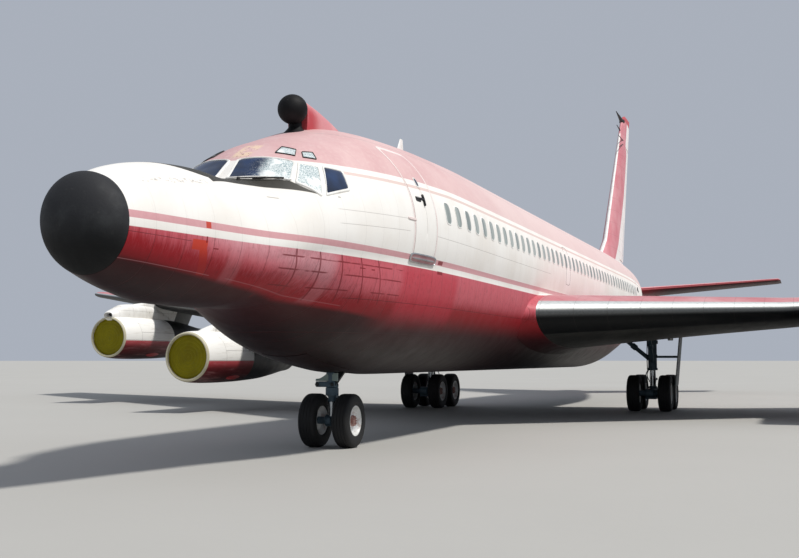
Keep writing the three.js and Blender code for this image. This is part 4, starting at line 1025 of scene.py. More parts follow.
fairing_shell = closed(skin(fairing_at[:, None], fairing_girth, rows=fairing_rows))
add_piece("roof_ball_wedge", fairing_shell, fairing_pink, "pink_paint", "roof_ball_fairing")


# Aerial on the crown
# A thin painted blade screwed to a small foot behind the flight deck.
aerial_white = plain_finish("aerial_white", "#efeeec", "#c8c4bc", 0.5)


def lens_ring(fore, aft, half, height, count=28):
    """A pointed oval: its half width is half times the sine of the way along."""
    turn = full_turn(count)
    along = (1 - np.cos(turn)) / 2
    return np.stack([half * np.sin(turn), fore + (aft - fore) * along, np.full(count, height)], -1)


# Columns: fore, aft, half width and height of the foot, the root and the tip
blade_rows = [
    (2.98, 3.66, 0.05, 5.33), (2.98, 3.66, 0.05, 5.455), (3.08, 3.56, 0.022, 5.48),
    (3.33, 3.48, 0.018, 5.84), (3.35, 3.47, 0.008, 5.85),
]
blade_shell = closed(np.stack([lens_ring(*row) for row in blade_rows]))
add_piece("blade_aerial_top", blade_shell, aerial_white, "white_paint", "blade_aerial")


# Wings
# Each wing is a riveted box with a polished metal leading edge whose lower side is darkened as a painted
# reflection of the ground, a painted top and a dark grey underside that is painted shade.
# The flaps and ailerons fill slots along its trailing edge, with fixed panels between them, and a sheet
# fillet closes the corner between wing and belly.
nose_roundness = (0.2969, -0.126, -0.3516, 0.2843, -0.1015)
hinge_gap = 0.026
nose_fit = 0.94
moving_thin = 0.955          # thickness of a moving surface at its hinge, as a share of the section's


class Foil:
    """A lifting surface from rows of span, leading and trailing edge station, leading edge height, thickness
    ratio and incidence. Its section is symmetrical, with a half thickness of 5 t (a sqrt(x) + b x + c x^2 +
    d x^3 + e x^4) of the chord, and is rounded off towards the tip as a circle is. The hinge line runs
    straight between points given by span and chord fraction. upright stands the surface on its root."""

    def __init__(self, rows, hinge, tip_from, upright=False):
        self.rows = np.array(rows, float)
        self.tip = (tip_from, self.rows[-1, 0])
        self.upright = upright
        self.hinge_span = np.array([h[0] for h in hinge], float)
        spots = self.point(self.hinge_span, np.array([h[1] for h in hinge], float))
        self.hinge_y, self.hinge_z = spots[:, 1], spots[:, 2]

    def at(self, span):
        """The rows' columns at a span, by straight lines between them."""
        return [np.interp(span, self.rows[:, 0], self.rows[:, k]) for k in range(1, 6)]

    def point(self, span, fraction, off=0.0):
        """A point of the chord, which falls aft by its incidence, and off metres over it."""
        lead, trail, height, _, incidence = self.at(span)
        chord = trail - lead
        fall = np.sin(np.radians(incidence)) * fraction * chord
        span, y, z = np.broadcast_arrays(span, lead + fraction * chord, height - fall + off)
        return np.stack([span, y, z], -1).astype(float)

    def half(self, span, fraction):
        """The half thickness: the section's formula, times the square root of 1 - out^2 in the tip."""
        lead, trail, _, ratio, _ = self.at(span)
        x = np.clip(fraction, 0, 1)
        a, b, c, d, e = nose_roundness
        thick = 5 * ratio * (a * np.sqrt(x) + b * x + c * x ** 2 + d * x ** 3 + e * x ** 4) * (trail - lead)
        out = np.clip((span - self.tip[0]) / (self.tip[1] - self.tip[0]), 0, 1)
        return thick * np.sqrt(np.maximum(1 - out ** 2, 0)) + 0.0008

    def over_plan(self, span, station, sign):
        """The point of the upper (1) or lower (-1) surface over a spot of the plan, and its fit."""
        lead, trail = self.at(span)[:2]
        fraction = (station - lead) / (trail - lead)
        spot = self.point(span, fraction, sign * self.half(span, fraction))
        return spot, np.stack(np.broadcast_arrays(fraction, span, sign * 1.0), -1)

    def stood(self, shell):
        """An upright surface has its span upwards and its thickness across."""
        if not self.upright:
            return shell
        turned_points = shell["points"][:, [2, 1, 0]]
        return {**shell, "points": turned_points, "faces": [f[:, ::-1] for f in shell["faces"]]}

    def box(self, spans, steps=34):
        """The surface from its leading edge back to the hollow in front of the hinge line. The hollow is an
        arc about the hinge, drawn out by the sweep, and its lips stop short of the skin."""
        spans = np.asarray(spans, float)[:, None]
        hinge_y = np.interp(spans, self.hinge_span, self.hinge_y)
        hinge_z = np.interp(spans, self.hinge_span, self.hinge_z)
        lead, trail = self.at(spans)[:2]
        thick = self.half(spans, (hinge_y - lead) / (trail - lead))
        radius = nose_fit * thick + hinge_gap
        slope = np.gradient(hinge_y[:, 0], spans[:, 0])[:, None]
        draw = 1.0 if self.upright else np.sqrt(1 + slope ** 2)
        lip = np.arcsin(np.clip(0.84 * thick / radius, 0, 0.99))
        lip_fraction = (hinge_y - radius * draw * np.cos(lip) - lead) / (trail - lead)
        way = 0.5 - 0.5 * np.cos(np.linspace(0, math.pi, steps))[None, :]
        along = way ** 1.15 * lip_fraction
        upper = self.point(spans, along, self.half(spans, along))
        lower = self.point(spans, along, -self.half(spans, along))
        arc = np.linspace(-1, 1, 9)[None, :] * lip
        hollow = np.stack(np.broadcast_arrays(spans, hinge_y - radius * draw * np.cos(arc),
                                              hinge_z + radius * np.sin(arc)), -1)
        grid = np.concatenate([upper[:, ::-1], lower[:, 1:], hollow], 1)
        side = np.concatenate([np.ones(steps), -np.ones(steps - 1), np.zeros(9)])
        share = np.concatenate([along[:, ::-1], along[:, 1:], 0 * arc + lip_fraction], 1)
        fit = np.stack([share, 0 * share + spans, 0 * share + side], -1)
        return self.stood(closed(grid, flat_ends=True, fit=fit))

    def edge_line(self, span, fraction, step, reach=0.0):
        """Front and back plan points of a cut square to the hinge line, step metres along it from a hinge
        point. A level cut runs straight aft."""
        spot = self.point(span, fraction)
        k = np.clip(np.searchsorted(self.hinge_span, span + 1e-6 * np.sign(step or 1)) - 1, 0,
                    len(self.hinge_span) - 2)
        ways = [step, 0.0] if self.upright else [
            self.hinge_span[k + 1] - self.hinge_span[k], self.hinge_y[k + 1] - self.hinge_y[k]]
        along = np.array(ways) / max(np.linalg.norm(ways), 1e-9)
        if self.upright:
            start, back = spot[:2] + (step, 0), np.array([0.0, 1.0])
        else:
            start, back = spot[:2] + along * step, np.array([-along[1], along[0]])
        distance = 0.0
        for _ in range(12):
            here = start + back * distance
            distance += (self.at(here[0])[1] - here[1]) / back[1]
        return start - back * reach, start + back * distance

    def fixed(self, inner, outer, reach, steps=10, across=8):
        """A fixed panel behind the hollow, between two cuts. Each cut is (span, fraction, step), or one span
        for a cut that runs straight aft."""
        cuts = []
        for cut in (inner, outer):
            if np.isscalar(cut):
                y = np.interp(cut, self.hinge_span, self.hinge_y)
                cuts.append((np.array([cut, y - reach]), np.array([cut, self.at(cut)[1]])))
            else:
                cuts.append(self.edge_line(*cut, reach))
        u = np.linspace(0, 1, across)[:, None, None]
        v = np.linspace(0, 1, steps)[None, :, None]
        fronts, backs = ((1 - u) * cuts[0][k] + u * cuts[1][k] for k in (0, 1))
        plan = (1 - v) * fronts + v * backs
        upper, fit_up = self.over_plan(plan[..., 0], plan[..., 1], 1)
        lower, fit_low = self.over_plan(plan[..., 0], plan[..., 1], -1)
        grid = np.concatenate([upper, lower[:, ::-1]], 1)
        return self.stood(closed(grid, flat_ends=True, fit=np.concatenate([fit_up, fit_low[:, ::-1]], 1)))

    def moving(self, inner, outer, across=28, steps=12):
        """A trailing surface with a half round nose on the hinge line, closed square to it, and its pins."""
        ends = [self.point(*inner), self.point(*outer)]
        pivot = ends[0] + (ends[1] - ends[0]) * np.linspace(0, 1, across)[:, None]
        along = unit(ends[1] - ends[0])
        lead, rear = self.at(pivot[:, 0])[:2]
        if self.upright:
            tip = np.stack([pivot[:, 0], rear, pivot[:, 2]], -1)
        else:
            corner = self.point(inner[0], 1.0)
            line = self.point(outer[0], 1.0) - corner
            tip = corner + (((pivot - corner) @ along) / (line @ along))[:, None] * line
        chord = np.linalg.norm(tip - pivot, axis=1, keepdims=True)
        back = (tip - pivot) / chord
        up = np.cross(along, back)
        up = unit(up * np.sign(up[:, 2:]))
        way = np.linspace(0, 1, steps)[None, :]
        spots = pivot[:, None] + back[:, None] * (way * chord)[..., None]
        upper, fit_up = self.over_plan(spots[..., 0], spots[..., 1], 1)
        lower, fit_low = self.over_plan(spots[..., 0], spots[..., 1], -1)
        angle = np.linspace(0, math.pi, 13)[None, 1:-1]
        radius = moving_thin * self.half(pivot[:, 0], (pivot[:, 1] - lead) / (rear - lead))[:, None]
        nose = (pivot[:, None] - back[:, None] * (radius * np.sin(angle))[..., None]
                + up[:, None] * (radius * np.cos(angle))[..., None])
        narrow = np.clip(moving_thin + (1 - moving_thin) * (way * chord) / 0.2, 0, 1)[..., None]
        middle = (upper + lower) / 2
        upper, lower = middle + (upper - middle) * narrow, middle + (lower - middle) * narrow
        grid = np.concatenate([upper[:, ::-1], nose, lower], 1)
        fit_nose = np.broadcast_to(fit_up[:, :1], nose.shape)
        surface = closed(grid, flat_ends=True, fit=np.concatenate([fit_up[:, ::-1], fit_nose, fit_low], 1))
        pins = [bar(end - out * 0.05, end + out * 0.025, 0.022) for end, out in zip(ends, (-along, along))]
        return [self.stood(s) for s in [surface, *pins]]


def bar(start, end, radius, end_radius=None, sides=20, soft=0.2, rows=None):
    """A round bar between two points with its end corners turned off. rows, if given, are (share of the way,
    radius) pairs of a turned profile."""
    start, end = np.asarray(start, float), np.asarray(end, float)
    along = end - start
    length = np.linalg.norm(along)
    along = along / length
    side = np.cross(along, (0, 0, 1.0) if abs(along[2]) < 0.9 else (0, 1.0, 0))
    side /= np.linalg.norm(side)
    other = np.cross(along, side)
    end_radius = radius if end_radius is None else end_radius
    if rows is None:
        cut = min(soft * radius / length, 0.45)
        rows = [(0.0, radius * (1 - soft)), (cut, radius), (1 - cut, end_radius),
                (1.0, end_radius * (1 - soft))]
    rows = np.asarray(rows, float)
    angle = full_turn(sides)
    ring = np.cos(angle)[:, None] * side + np.sin(angle)[:, None] * other
    return closed(start + rows[:, 0, None, None] * length * along + rows[:, 1, None, None] * ring)


wing = Foil([
    (0.8, 5.89, 16.765, 2.45, 0.12, 2.6),
    (7.0, 11.104, 17.54, 2.67, 0.117, 0.6),
    (8.3, 12.197, 18.2, 2.76, 0.112, 0.5),
    (19.7, 21.095, 24.0, 4.112, 0.092, 0.0),
    (19.94, 21.5, 24.122, 4.14, 0.06, 0.0),
], [(0.8, 0.89), (2.35, 0.875), (6.6, 0.8), (7.15, 0.78), (8.7, 0.77), (8.9, 0.77), (13.9, 0.75),
    (14.5, 0.75), (18.7, 0.73), (19.94, 0.7)], tip_from=19.78)
# Columns: name, inner span and chord fraction of the hinge, outer span and fraction
wing_surfaces = [
    ("flap_inboard", (2.35, 0.875), (6.6, 0.8)),
    ("aileron_inboard", (7.15, 0.78), (8.7, 0.77)),
    ("flap_outboard", (8.9, 0.77), (13.9, 0.75)),
    ("aileron_outboard", (14.5, 0.75), (18.7, 0.73)),
]


def wing_finish(name):
    """Polished nose, darkened on its lower side as a painted reflection of the ground, painted top, and a
    dark grey underside that is painted shade, by chord fraction and side. Spanwise seams follow the spars and
    the ribs, and rivets dot them."""
    f = Finish(name)
    fraction, span, side = f.fit()
    metre = f.both(fraction, 6.0)
    grain = f.noise(1.0, 4.0, 0.6, (2.0, 30.0, 30.0))
    blot = f.noise(0.8, 4.0)
    polish = f.fade(grain, 0.3, 0.8, "#ced2d2", "#b4b8b8")
    # Painted reflection: the polished nose goes near black on its lower side, as the dark ground would show
    # in it.
    polish = f.mix(f.over(f.both(fraction, side), 0.015, -0.005), polish, "#121416")
    top = f.fade(blot, 0.3, 0.7, "#bb757c", "#c8969a")
    top = f.mix(f.over(grain, 0.5, 0.8, 0.5), top, "#8c5057")
    # Painted shade: the underside is a near black grey.
    under = f.fade(blot, 0.3, 0.7, "#202120", "#2f302e")
    streak = f.noise(1.0, 4.0, 0.6, (7.0, 0.8, 1.0))
    under = f.mix(f.over(streak, 0.5, 0.75, 0.6), under, "#151413")
    painted_tone = f.fade(side, -0.1, 0.1, under, top)
    metal_share = f.over(f.plus(fraction, f.spread(f.over(side, -0.1, 0.1), 0.0, 0.045)), 0.08, 0.075)
    colour = f.mix(metal_share, painted_tone, polish)
    ribs = f.lines(span, 0.66, 0.008)
    spars = f.bands(fraction, 0.001, (0.104, 0.106), (0.398, 0.3995))
    joints = f.most(f.both(ribs, 0.5), spars)
    colour = f.mix(f.both(joints, 0.55), colour, "#3c3434")
    rivets = f.both(f.over(f.number("PINGPONG", f.less(span, 0.03), 0.33), 0.01, 0.005),
                    f.lines(metre, 0.06, 0.008))
    relief = f.bump(f.plus(joints, f.both(rivets, 0.4)), -0.003, f.bump(f.noise(1.4, 1.0), 0.004))
    gloss = f.spread(f.noise(4.0, 4.0), f.spread(metal_share, 0.45, 0.44), f.spread(metal_share, 0.65, 0.54))
    return f.done(colour, gloss, relief, f.spread(metal_share, 0.0, 0.65), Specular_IOR_Level=0.22)


wing_paint = wing_finish("wing_finish")
pad_metal = plain_finish("pad_metal", "#9a9c9c", "#6a6c6c", 0.4, 0.8)


def tip_spans(tip_start, tip_long, count, *runs):
    """Spans in even runs, and a last one whose steps shrink towards the rounded tip as a sine does."""
    last = tip_start + tip_long * np.sin(np.linspace(0, math.pi / 2, count))
    return np.unique(np.concatenate([*(np.linspace(*run) for run in runs), last]))


spans = tip_spans(19.7, 0.24, 10, (0.8, 7.0, 28), (7.0, 8.3, 8), (8.3, 19.7, 48))
cove_reach = 0.16
# Columns: inner and outer cut of each fixed panel
wing_panels = [
    (0.8, (2.35, 0.875, -hinge_gap)),
    ((6.6, 0.8, hinge_gap), (7.15, 0.78, -hinge_gap)),
    ((8.7, 0.77, hinge_gap), (8.9, 0.77, -hinge_gap)),
    ((13.9, 0.75, hinge_gap), (14.5, 0.75, -hinge_gap)),
]
wing_shells = [wing.box(spans), *(wing.fixed(*cuts, cove_reach) for cuts in wing_panels),
               wing.fixed((18.7, 0.73, hinge_gap), 19.938, cove_reach, across=16)]
pad_place = np.array([4.2, 12.5, 0.0])
jack_pad = bar(pad_place + (0, 0, 1.955), pad_place + (0, 0, 2.25), 0.07, sides=32, soft=0.1)


def root_fillet():
    """The wing's own outline blown up near the belly: each point stands off along the outline's normal by
    0.1 m times the square of the way left to the fillet's outer edge."""
    inner, outer = 1.45, 1.92    # spans of the fillet's edges
    flare = 0.1
    span = np.linspace(inner, outer, 16)[:, None]
    way = 0.5 - 0.5 * np.cos(np.linspace(0, math.pi, 48))[None, :]
    along = way * 0.86
    upper = wing.point(span, along, wing.half(span, along))
    lower = wing.point(span, along, -wing.half(span, along))
    grid = np.concatenate([upper[:, ::-1], lower[:, 1:]], 1)
    tangent = np.roll(grid, -1, 1) - np.roll(grid, 1, 1)
    normal = unit(np.stack([0 * tangent[..., 0], tangent[..., 2], -tangent[..., 1]], -1))
    normal[:, [0, -1]] = normal[:, [1, -2]]
    outwards = np.sign(((grid - grid.mean(1, keepdims=True)) * normal).sum(-1).mean())
    left = ((outer - span) / (outer - inner))[..., None] ** 2
    return closed(grid + normal * outwards * (flare * left + 0.004), flat_ends=True)


def add_pair(name, shells, finishes, slot, node="", smooth_to=40.0, body="root"):
    """The port piece and its mirror image. {} in a name stands for the side."""
    shells = shells if isinstance(shells, list) else [shells]
    for side, turn in (("left", lambda shell: shell), ("right", mirror)):
        add_piece(name.format(side), [turn(shell) for shell in shells], finishes, slot, node.format(side),
                  smooth_to, body.format(side))


foil_smooth = 32.0
add_pair("wing_skin_{}", wing_shells, wing_paint, "bare_metal", "wing_{}", foil_smooth)
add_pair("wing_jack_pad_{}", jack_pad, pad_metal, "bare_metal")
add_pair("wing_root_fillet_{}", root_fillet(), fuselage_paint, "red_paint", smooth_to=50.0)
for name, inner, outer in wing_surfaces:
    add_pair(name + "_panel_{}", wing.moving(inner, outer), wing_paint, "white_paint", name + "_{}",
             foil_smooth, name + "_{}_body")


# Tail
# The stabilisers and fin are built as the wing is. The stabilisers are red, pale pink on top and painted
# near black beneath as shade. The fin is pink with a thin white leading edge and a white rear, which its
# rudder carries on. Slim probes point forward from the fin's tip.
stabiliser = Foil([
    (0.25, 29.95, 34.15, 4.29, 0.1, 0.0),
    (6.48, 34.35, 36.78, 4.95, 0.09, 0.0),
    (6.605, 34.7, 36.95, 4.962, 0.06, 0.0),
], [(0.25, 0.7), (1.25, 0.7), (6.25, 0.66), (6.605, 0.64)], tip_from=6.5)
f = Finish("stabiliser_red")
fraction, span, side = f.fit()
blot = f.noise(1.1, 4.0)
top = f.fade(blot, 0.3, 0.7, "#d8a2a7", "#c9868d")
# Painted shade: the underside is near black red, lighter towards the root.
low = f.fade(blot, 0.3, 0.7, "#3c0c12", "#2a080c")
low = f.fade(span, 2.2, 0.6, low, "#7c1520")
top = f.fade(fraction, 0.05, 0.03, top, "#7e1c26")
tone = f.fade(side, -0.1, 0.1, low, top)
ribs = f.lines(span, 0.5, 0.008)
tone = f.mix(f.both(ribs, 0.4), tone, "#4b2c2e")
stabiliser_red = f.done(tone, f.spread(f.noise(4.0), 0.42, 0.62), f.bump(ribs, -0.002),
                        Specular_IOR_Level=0.22)
tail_spans = tip_spans(6.48, 0.125, 8, (0.25, 6.48, 30))
stabiliser_shells = [stabiliser.box(tail_spans), stabiliser.fixed(0.25, (1.25, 0.7, -hinge_gap), 0.1),
                     stabiliser.fixed((6.25, 0.66, hinge_gap), 6.604, 0.1, across=12)]
elevator_shells = stabiliser.moving((1.25, 0.7), (6.25, 0.66))
add_pair("stabiliser_skin_{}", stabiliser_shells, stabiliser_red, "red_paint", "stabiliser_{}", foil_smooth)
add_pair("elevator_panel_{}", elevator_shells, stabiliser_red, "red_paint", "elevator_{}", foil_smooth,
         "elevator_{}_body")

fin = Foil([
    (5.1, 25.3, 32.29, 0.0, 0.075, 0.0),
    (5.62, 26.6, 32.49, 0.0, 0.085, 0.0),
    (6.31, 27.83, 32.75, 0.0, 0.1, 0.0),
    (12.15, 32.62, 34.99, 0.0, 0.09, 0.0),
    (12.48, 33.15, 35.11, 0.0, 0.075, 0.0),
    (12.62, 33.75, 35.16, 0.0, 0.04, 0.0),
], [(5.1, 0.67), (5.76, 0.67), (11.0, 0.66), (12.62, 0.6)], tip_from=12.42, upright=True)


def fin_finish(name):
    """Pink, with a thin white band on the leading edge, a white area behind a slanting edge and a red tip."""
    f = Finish(name)
    fraction, span, side = f.fit()
    blot = f.noise(1.0, 4.0)
    runs = f.noise(1.0, 4.0, 0.6, (8.0, 8.0, 0.9))
    pink = f.fade(blot, 0.3, 0.7, "#c9757f", "#d4949a")
    pink = f.mix(f.over(runs, 0.5, 0.75, 0.4), pink, "#d8a8ab")
    white = f.fade(runs, 0.4, 0.8, "#f0efed", "#d6d2cf")
    front = f.both(fraction, f.spread(f.over(f.z, 5.0, 12.0), 1.0, 0.62))
    tone = f.mix(f.both(f.over(front, 0.012, 0.008), f.over(f.z, 11.6, 11.4)), pink, white)
    behind = f.less(f.spread(f.over(f.z, 5.8, 9.8), 0.39, 0.67), f.over(f.z, 10.7, 11.2, 0.22))
    tone = f.mix(f.over(f.less(fraction, behind), -0.006, 0.006), tone, white)
    washed = f.both(f.within(f.z, 5.9, 7.4, 0.3), f.within(fraction, 0.82, 0.9, 0.02), 0.45)
    tone = f.mix(washed, tone, "#9fb0b6")
    tone = f.fade(f.z, 12.2, 12.3, tone, "#b84a50")
    ribs = f.lines(span, 0.55, 0.008)
    tone = f.mix(f.both(ribs, 0.35), tone, "#7d4a4c")
    return f.done(tone, f.spread(f.noise(4.0), 0.42, 0.62), f.bump(ribs, -0.002))


fin_gap = 0.08
fin_shells = [fin.box(tip_spans(12.42, 0.2, 9, (5.1, 12.42, 44))),
              fin.fixed(5.12, (5.76, 0.67, -fin_gap), 0.12),
              fin.fixed((11.0, 0.66, fin_gap), 12.615, 0.1, across=18)]
fin_paint = fin_finish("fin_finish")
add_piece("fin_skin", fin_shells, fin_paint, "pink_paint", "fin", foil_smooth)
rudder_shells = fin.moving((5.76, 0.67), (11.0, 0.66))
add_piece("rudder_panel", rudder_shells, fin_paint, "white_paint", "rudder", foil_smooth, "rudder_body")
# Columns: root, tip, radius at the root and at the tip
probes = [
    ((0.0, 32.9, 12.2), (0.0, 31.19, 12.333), 0.075, 0.014),
    ((0.0, 32.5, 11.668), (0.0, 31.332, 11.748), 0.03, 0.014),
    ((0.06, 33.3, 11.3), (0.2, 30.489, 11.109), 0.022, 0.014),
    ((0.06, 33.3, 11.3), (0.2, 30.612, 10.629), 0.022, 0.014),
]
probe_shells = [bar(root, tip, 0, rows=[(0.0, 1.7 * wide), (0.12, 1.15 * wide), (0.25, wide), (0.97, thin),
                                        (1.0, 0.4 * thin)]) for root, tip, wide, thin in probes]
add_piece("fin_probes", probe_shells, black_fitting, "black_radome")


# Engines
# Four pods hang ahead of the wings on thin pylons. Each cowl is rolled sheet, white over red, with a bare
# black nozzle and tail cone. A fabricated olive cover plugs each intake. The outer pods carry the air
# compressor's hump with its own scoop, and every cowl has a red oil tank blister low on its inner side.
# Columns: distance aft of the lip, radius
cowl_rows = np.array([
    [0.19, 0.585], [0.06, 0.6], [0.012, 0.614], [0.0, 0.636], [0.012, 0.655], [0.04, 0.672], [0.16, 0.694],
    [0.42, 0.712], [0.8, 0.724], [1.3, 0.728], [2.5, 0.715], [3.2, 0.69], [3.9, 0.655], [4.8, 0.56],
    [5.6, 0.455], [6.0, 0.415], [6.01, 0.395], [5.985, 0.375], [5.5, 0.35], [5.42, 0.2], [5.45, 0.17],
    [5.8, 0.11], [6.06, 0.04],
])
# place is the middle of the intake's lip
engines = {
    "outboard": {"place": np.array([14.2, 14.09, 2.2]), "blister": 1.6},
    "inboard": {"place": np.array([8.3, 9.21, 1.53]), "blister": 1.42},
}


def with_fit(shell, engine):
    """Gives each point its distance aft of the lip, its height over the axis and its way outwards."""
    return {**shell, "fit": (shell["points"] - engine["place"])[:, [1, 2, 0]]}


def cowl_finish():
    """White above and red below a line a little under the axis, the red darkened towards the bottom as
    painted shade, with a pale lip, a smoke-blackened tail behind a clean cut whose near black is partly
    painted shade, ring seams, latches' dark marks and stains that run aft."""
    f = Finish("cowl_paint")
    aft, up, _ = f.fit()
    blot = f.noise(1.3, 4.0)
    runs = f.noise(1.0, 4.0, 0.65, (10.0, 1.0, 10.0))
    white = f.fade(runs, 0.5, 0.8, "#f0efeb", "#cfcac2")
    # Painted shade: the red darkens to near black towards the cowl's bottom.
    red = f.fade(up, -0.12, -0.34, "#b4454c", "#6e1f24")
    red = f.fade(up, -0.34, -0.66, red, "#35100f")
    red = f.mix(f.over(runs, 0.5, 0.75, 0.45), red, "#c08a8c")
    tone = f.fade(up, -0.105, -0.115, white, red)
    tone = f.mix(f.within(up, -0.098, -0.09, 0.002), tone, "#6f5a58")
    # The tail's near black is partly its blackened metal and partly painted shade.
    soot_and_shade = f.mottled(0.35, 0.7, "#141519", "#24262a", 2.4, 5.0)
    behind = f.less(aft, f.spread(f.over(f.size(f.x), 11.0, 11.1), 2.62, 3.05))
    tone = f.fade(behind, -0.01, 0.01, tone, soot_and_shade)
    tone = f.fade(aft, 0.075, 0.065, tone, f.mix(blot, "#c3beaa", "#b3ad92"))
    rings = f.most(f.bands(aft, 0.003, (0.95, 0.958), (5.05, 5.058)), f.within(behind, -0.012, -0.004, 0.003))
    flaps = f.both(f.within(up, 0.17, 0.178, 0.003), f.over(aft, 0.94, 0.95), f.over(behind, 0.0, -0.01))
    joints = f.most(rings, flaps)
    tone = f.mix(f.both(joints, 0.6), tone, "#5a5250")
    marks = f.both(f.over(f.noise(6.0, 4.0, 0.7), 0.66, 0.72), f.within(up, 0.1, 0.6, 0.1),
                   f.over(aft, 3.9, 3.5))
    tone = f.mix(f.both(marks, 0.5), tone, "#8d8982")
    relief = f.bump(joints, -0.004, f.bump(f.noise(2.0, 1.0), 0.006))
    return f.done(tone, f.spread(f.noise(5.0), 0.36, 0.6), relief, Specular_IOR_Level=0.3)


cowl_paint = cowl_finish()
f = Finish("cover_olive")
aft, up, across = f.fit()
round_off = f.number("SQRT", f.plus(f.both(up, up), f.both(across, across)))
grooves = f.lines(round_off, 0.098, 0.014, 0.02)
tone = f.mottled(0.3, 0.7, "#827909", "#726809", 2.0, 4.0)
tone = f.mix(f.both(grooves, 0.25), tone, "#928a2c")
tone = f.mix(f.over(f.noise(9.0, 4.0), 0.55, 0.75, 0.4), tone, "#6b6524")
cover_olive = f.done(tone, f.spread(f.noise(7.0), 0.55, 0.8), f.bump(grooves, 0.006), Specular_IOR_Level=0.15)
nozzle_metal = plain_finish("nozzle_metal", "#2f2b29", "#4a433e", 0.5, 0.6)
blister_red = plain_finish("blister_red", "#c2474a", "#9c3538", 0.5)


def cover_shell(engine):
    """A shallow dish with a rolled rim that sits in the intake. Its face waves in and out with the rings."""
    reach = np.linspace(0.02, 0.575, 60)
    face = 0.1 + 0.004 * np.cos(2 * math.pi * reach / 0.098)
    rim = np.array([[0.085, 0.583], [0.07, 0.59], [0.075, 0.597], [0.095, 0.599], [0.19, 0.588], [0.19, 0.3]])
    profile = np.concatenate([np.stack([face, reach], -1), rim])
    return with_fit(closed(lathed(profile, engine["place"], 72, 1)), engine)


def pylon_shell(levels, half, engine, blunt=0.28, count=44):
    """A blade built up in levels. Columns: height over the axis, fore edge, aft edge. Each level is an oval
    whose half width follows a quarter circle from both edges and is level between."""
    turn = full_turn(count)
    way = (1 - np.cos(turn)) / 2
    table = np.array(levels, float)
    height = np.linspace(table[0, 0], table[-1, 0], 30)
    fore, aft = (np.interp(height, table[:, 0], table[:, k]) for k in (1, 2))
    y = fore[:, None] + (aft - fore)[:, None] * way
    near = np.clip((y - fore[:, None]) / blunt, 0, 1)
    back = np.clip((aft[:, None] - y) / (3.5 * blunt), 0, 1)
    wide = half * np.sqrt(np.maximum(1 - (1 - near) ** 2, 0)) * np.sqrt(np.maximum(1 - (1 - back) ** 2, 0))
    x = wide * np.sign(np.sin(turn) + 1e-12)
    grid = np.stack([x, y, height[:, None] + 0 * y], -1) + engine["place"]
    return with_fit(closed(grid, flat_ends=True), engine)


def pylon_finish():
    """White ahead of a clean cut and bare dull metal behind it, with stains and a row of panel seams."""
    f = Finish("pylon_paint")
    aft, up, _ = f.fit()
    stains = f.both(f.over(f.noise(3.0, 5.0, 0.7), 0.57, 0.66), f.over(up, 0.6, 0.8))
    white = f.mottled(0.4, 0.75, "#efeeea", "#d8d4cc", 1.2, 4.0)
    white = f.mix(f.both(stains, 0.55), white, "#8f8a80")
    dark = f.mottled(0.35, 0.7, "#3c3d38", "#51524b", 2.0, 4.0)
    cut = f.spread(f.over(f.size(f.x), 11.0, 11.1), 3.07, 3.5)
    behind = f.less(aft, f.plus(cut, f.both(up, 0.6)))
    tone = f.fade(behind, -0.01, 0.01, white, dark)
    joints = f.most(f.lines(f.y, 0.8, 0.008), f.within(up, 0.9, 0.908, 0.002))
    tone = f.mix(f.both(joints, 0.45), tone, "#4f4a46")
    return f.done(tone, f.spread(f.noise(5.0), 0.4, 0.62), f.bump(joints, -0.003))


pylon_paint = pylon_finish()
pylon_levels = {
    "inboard": [(0.4, 0.62, 5.2), (0.5, 0.6, 5.4), (0.735, 0.7, 6.1), (0.86, 1.18, 6.45), (1.05, 2.0, 6.5),
                (1.25, 2.85, 6.5), (1.31, 3.9, 6.5)],
    "outboard": [(0.4, 0.3, 5.0), (0.55, 0.2, 5.1), (0.83, 0.22, 5.3), (1.08, 0.83, 5.5), (1.29, 2.6, 5.5),
                 (1.33, 3.2, 5.5)],
}
# Compressor hump. Columns: distance aft of the lip, half width, foot, top over the axis
hump_rows = np.array([
    [0.01, 0.175, 0.6, 0.825], [0.1, 0.215, 0.55, 0.87], [0.3, 0.25, 0.5, 0.95], [0.8, 0.27, 0.45, 1.11],
    [1.6, 0.27, 0.45, 1.15], [2.5, 0.25, 0.45, 1.11], [3.4, 0.19, 0.45, 0.86], [4.2, 0.09, 0.4, 0.62],
])


def hump_shell(engine):
    """Rounded arches from the scoop's lip aft. The scoop's wall turns in and runs back behind a black disc,
    the painted shade inside it.
    """
    at = np.linspace(0.01, 4.2, 46)
    angle = full_turn(48)
    across, rise = (np.sign(t) * np.abs(t) ** 0.8 for t in (np.cos(angle), np.sin(angle)))

    def ring(aft, half, foot, top):
        """across^2.5 + up^2.5 = 1, stretched to the half width and between foot and top."""
        middle, deep = (foot + top) / 2, (top - foot) / 2
        return np.stack([half * across, 0 * angle + aft, middle + deep * rise], -1)

    outside = [ring(a, *faired(hump_rows, a)) for a in at]
    inside = [ring(0.45, 0.1, 0.66, 0.78), ring(0.2, 0.13, 0.635, 0.8), ring(0.04, 0.15, 0.625, 0.81),
              ring(0.0, 0.162, 0.612, 0.816)]
    return with_fit(closed(np.stack(inside + outside) + engine["place"]), engine)


def blister_shell(engine):
    """A long drop shape: its radius is the square root of the sine of the way along, let into the cowl."""
    way = np.linspace(0.02, 0.98, 26)
    radius = 0.125 * np.sqrt(np.sin(math.pi * way)) * (1 - 0.35 * way)
    place = engine["place"] + (-0.4, 0, -0.55)
    grid = lathed(np.stack([engine["blister"] + 0.95 * way, radius], -1), place, 32, 1)
    grid[..., 2] += 0.03 * way[:, None]
    return closed(grid)


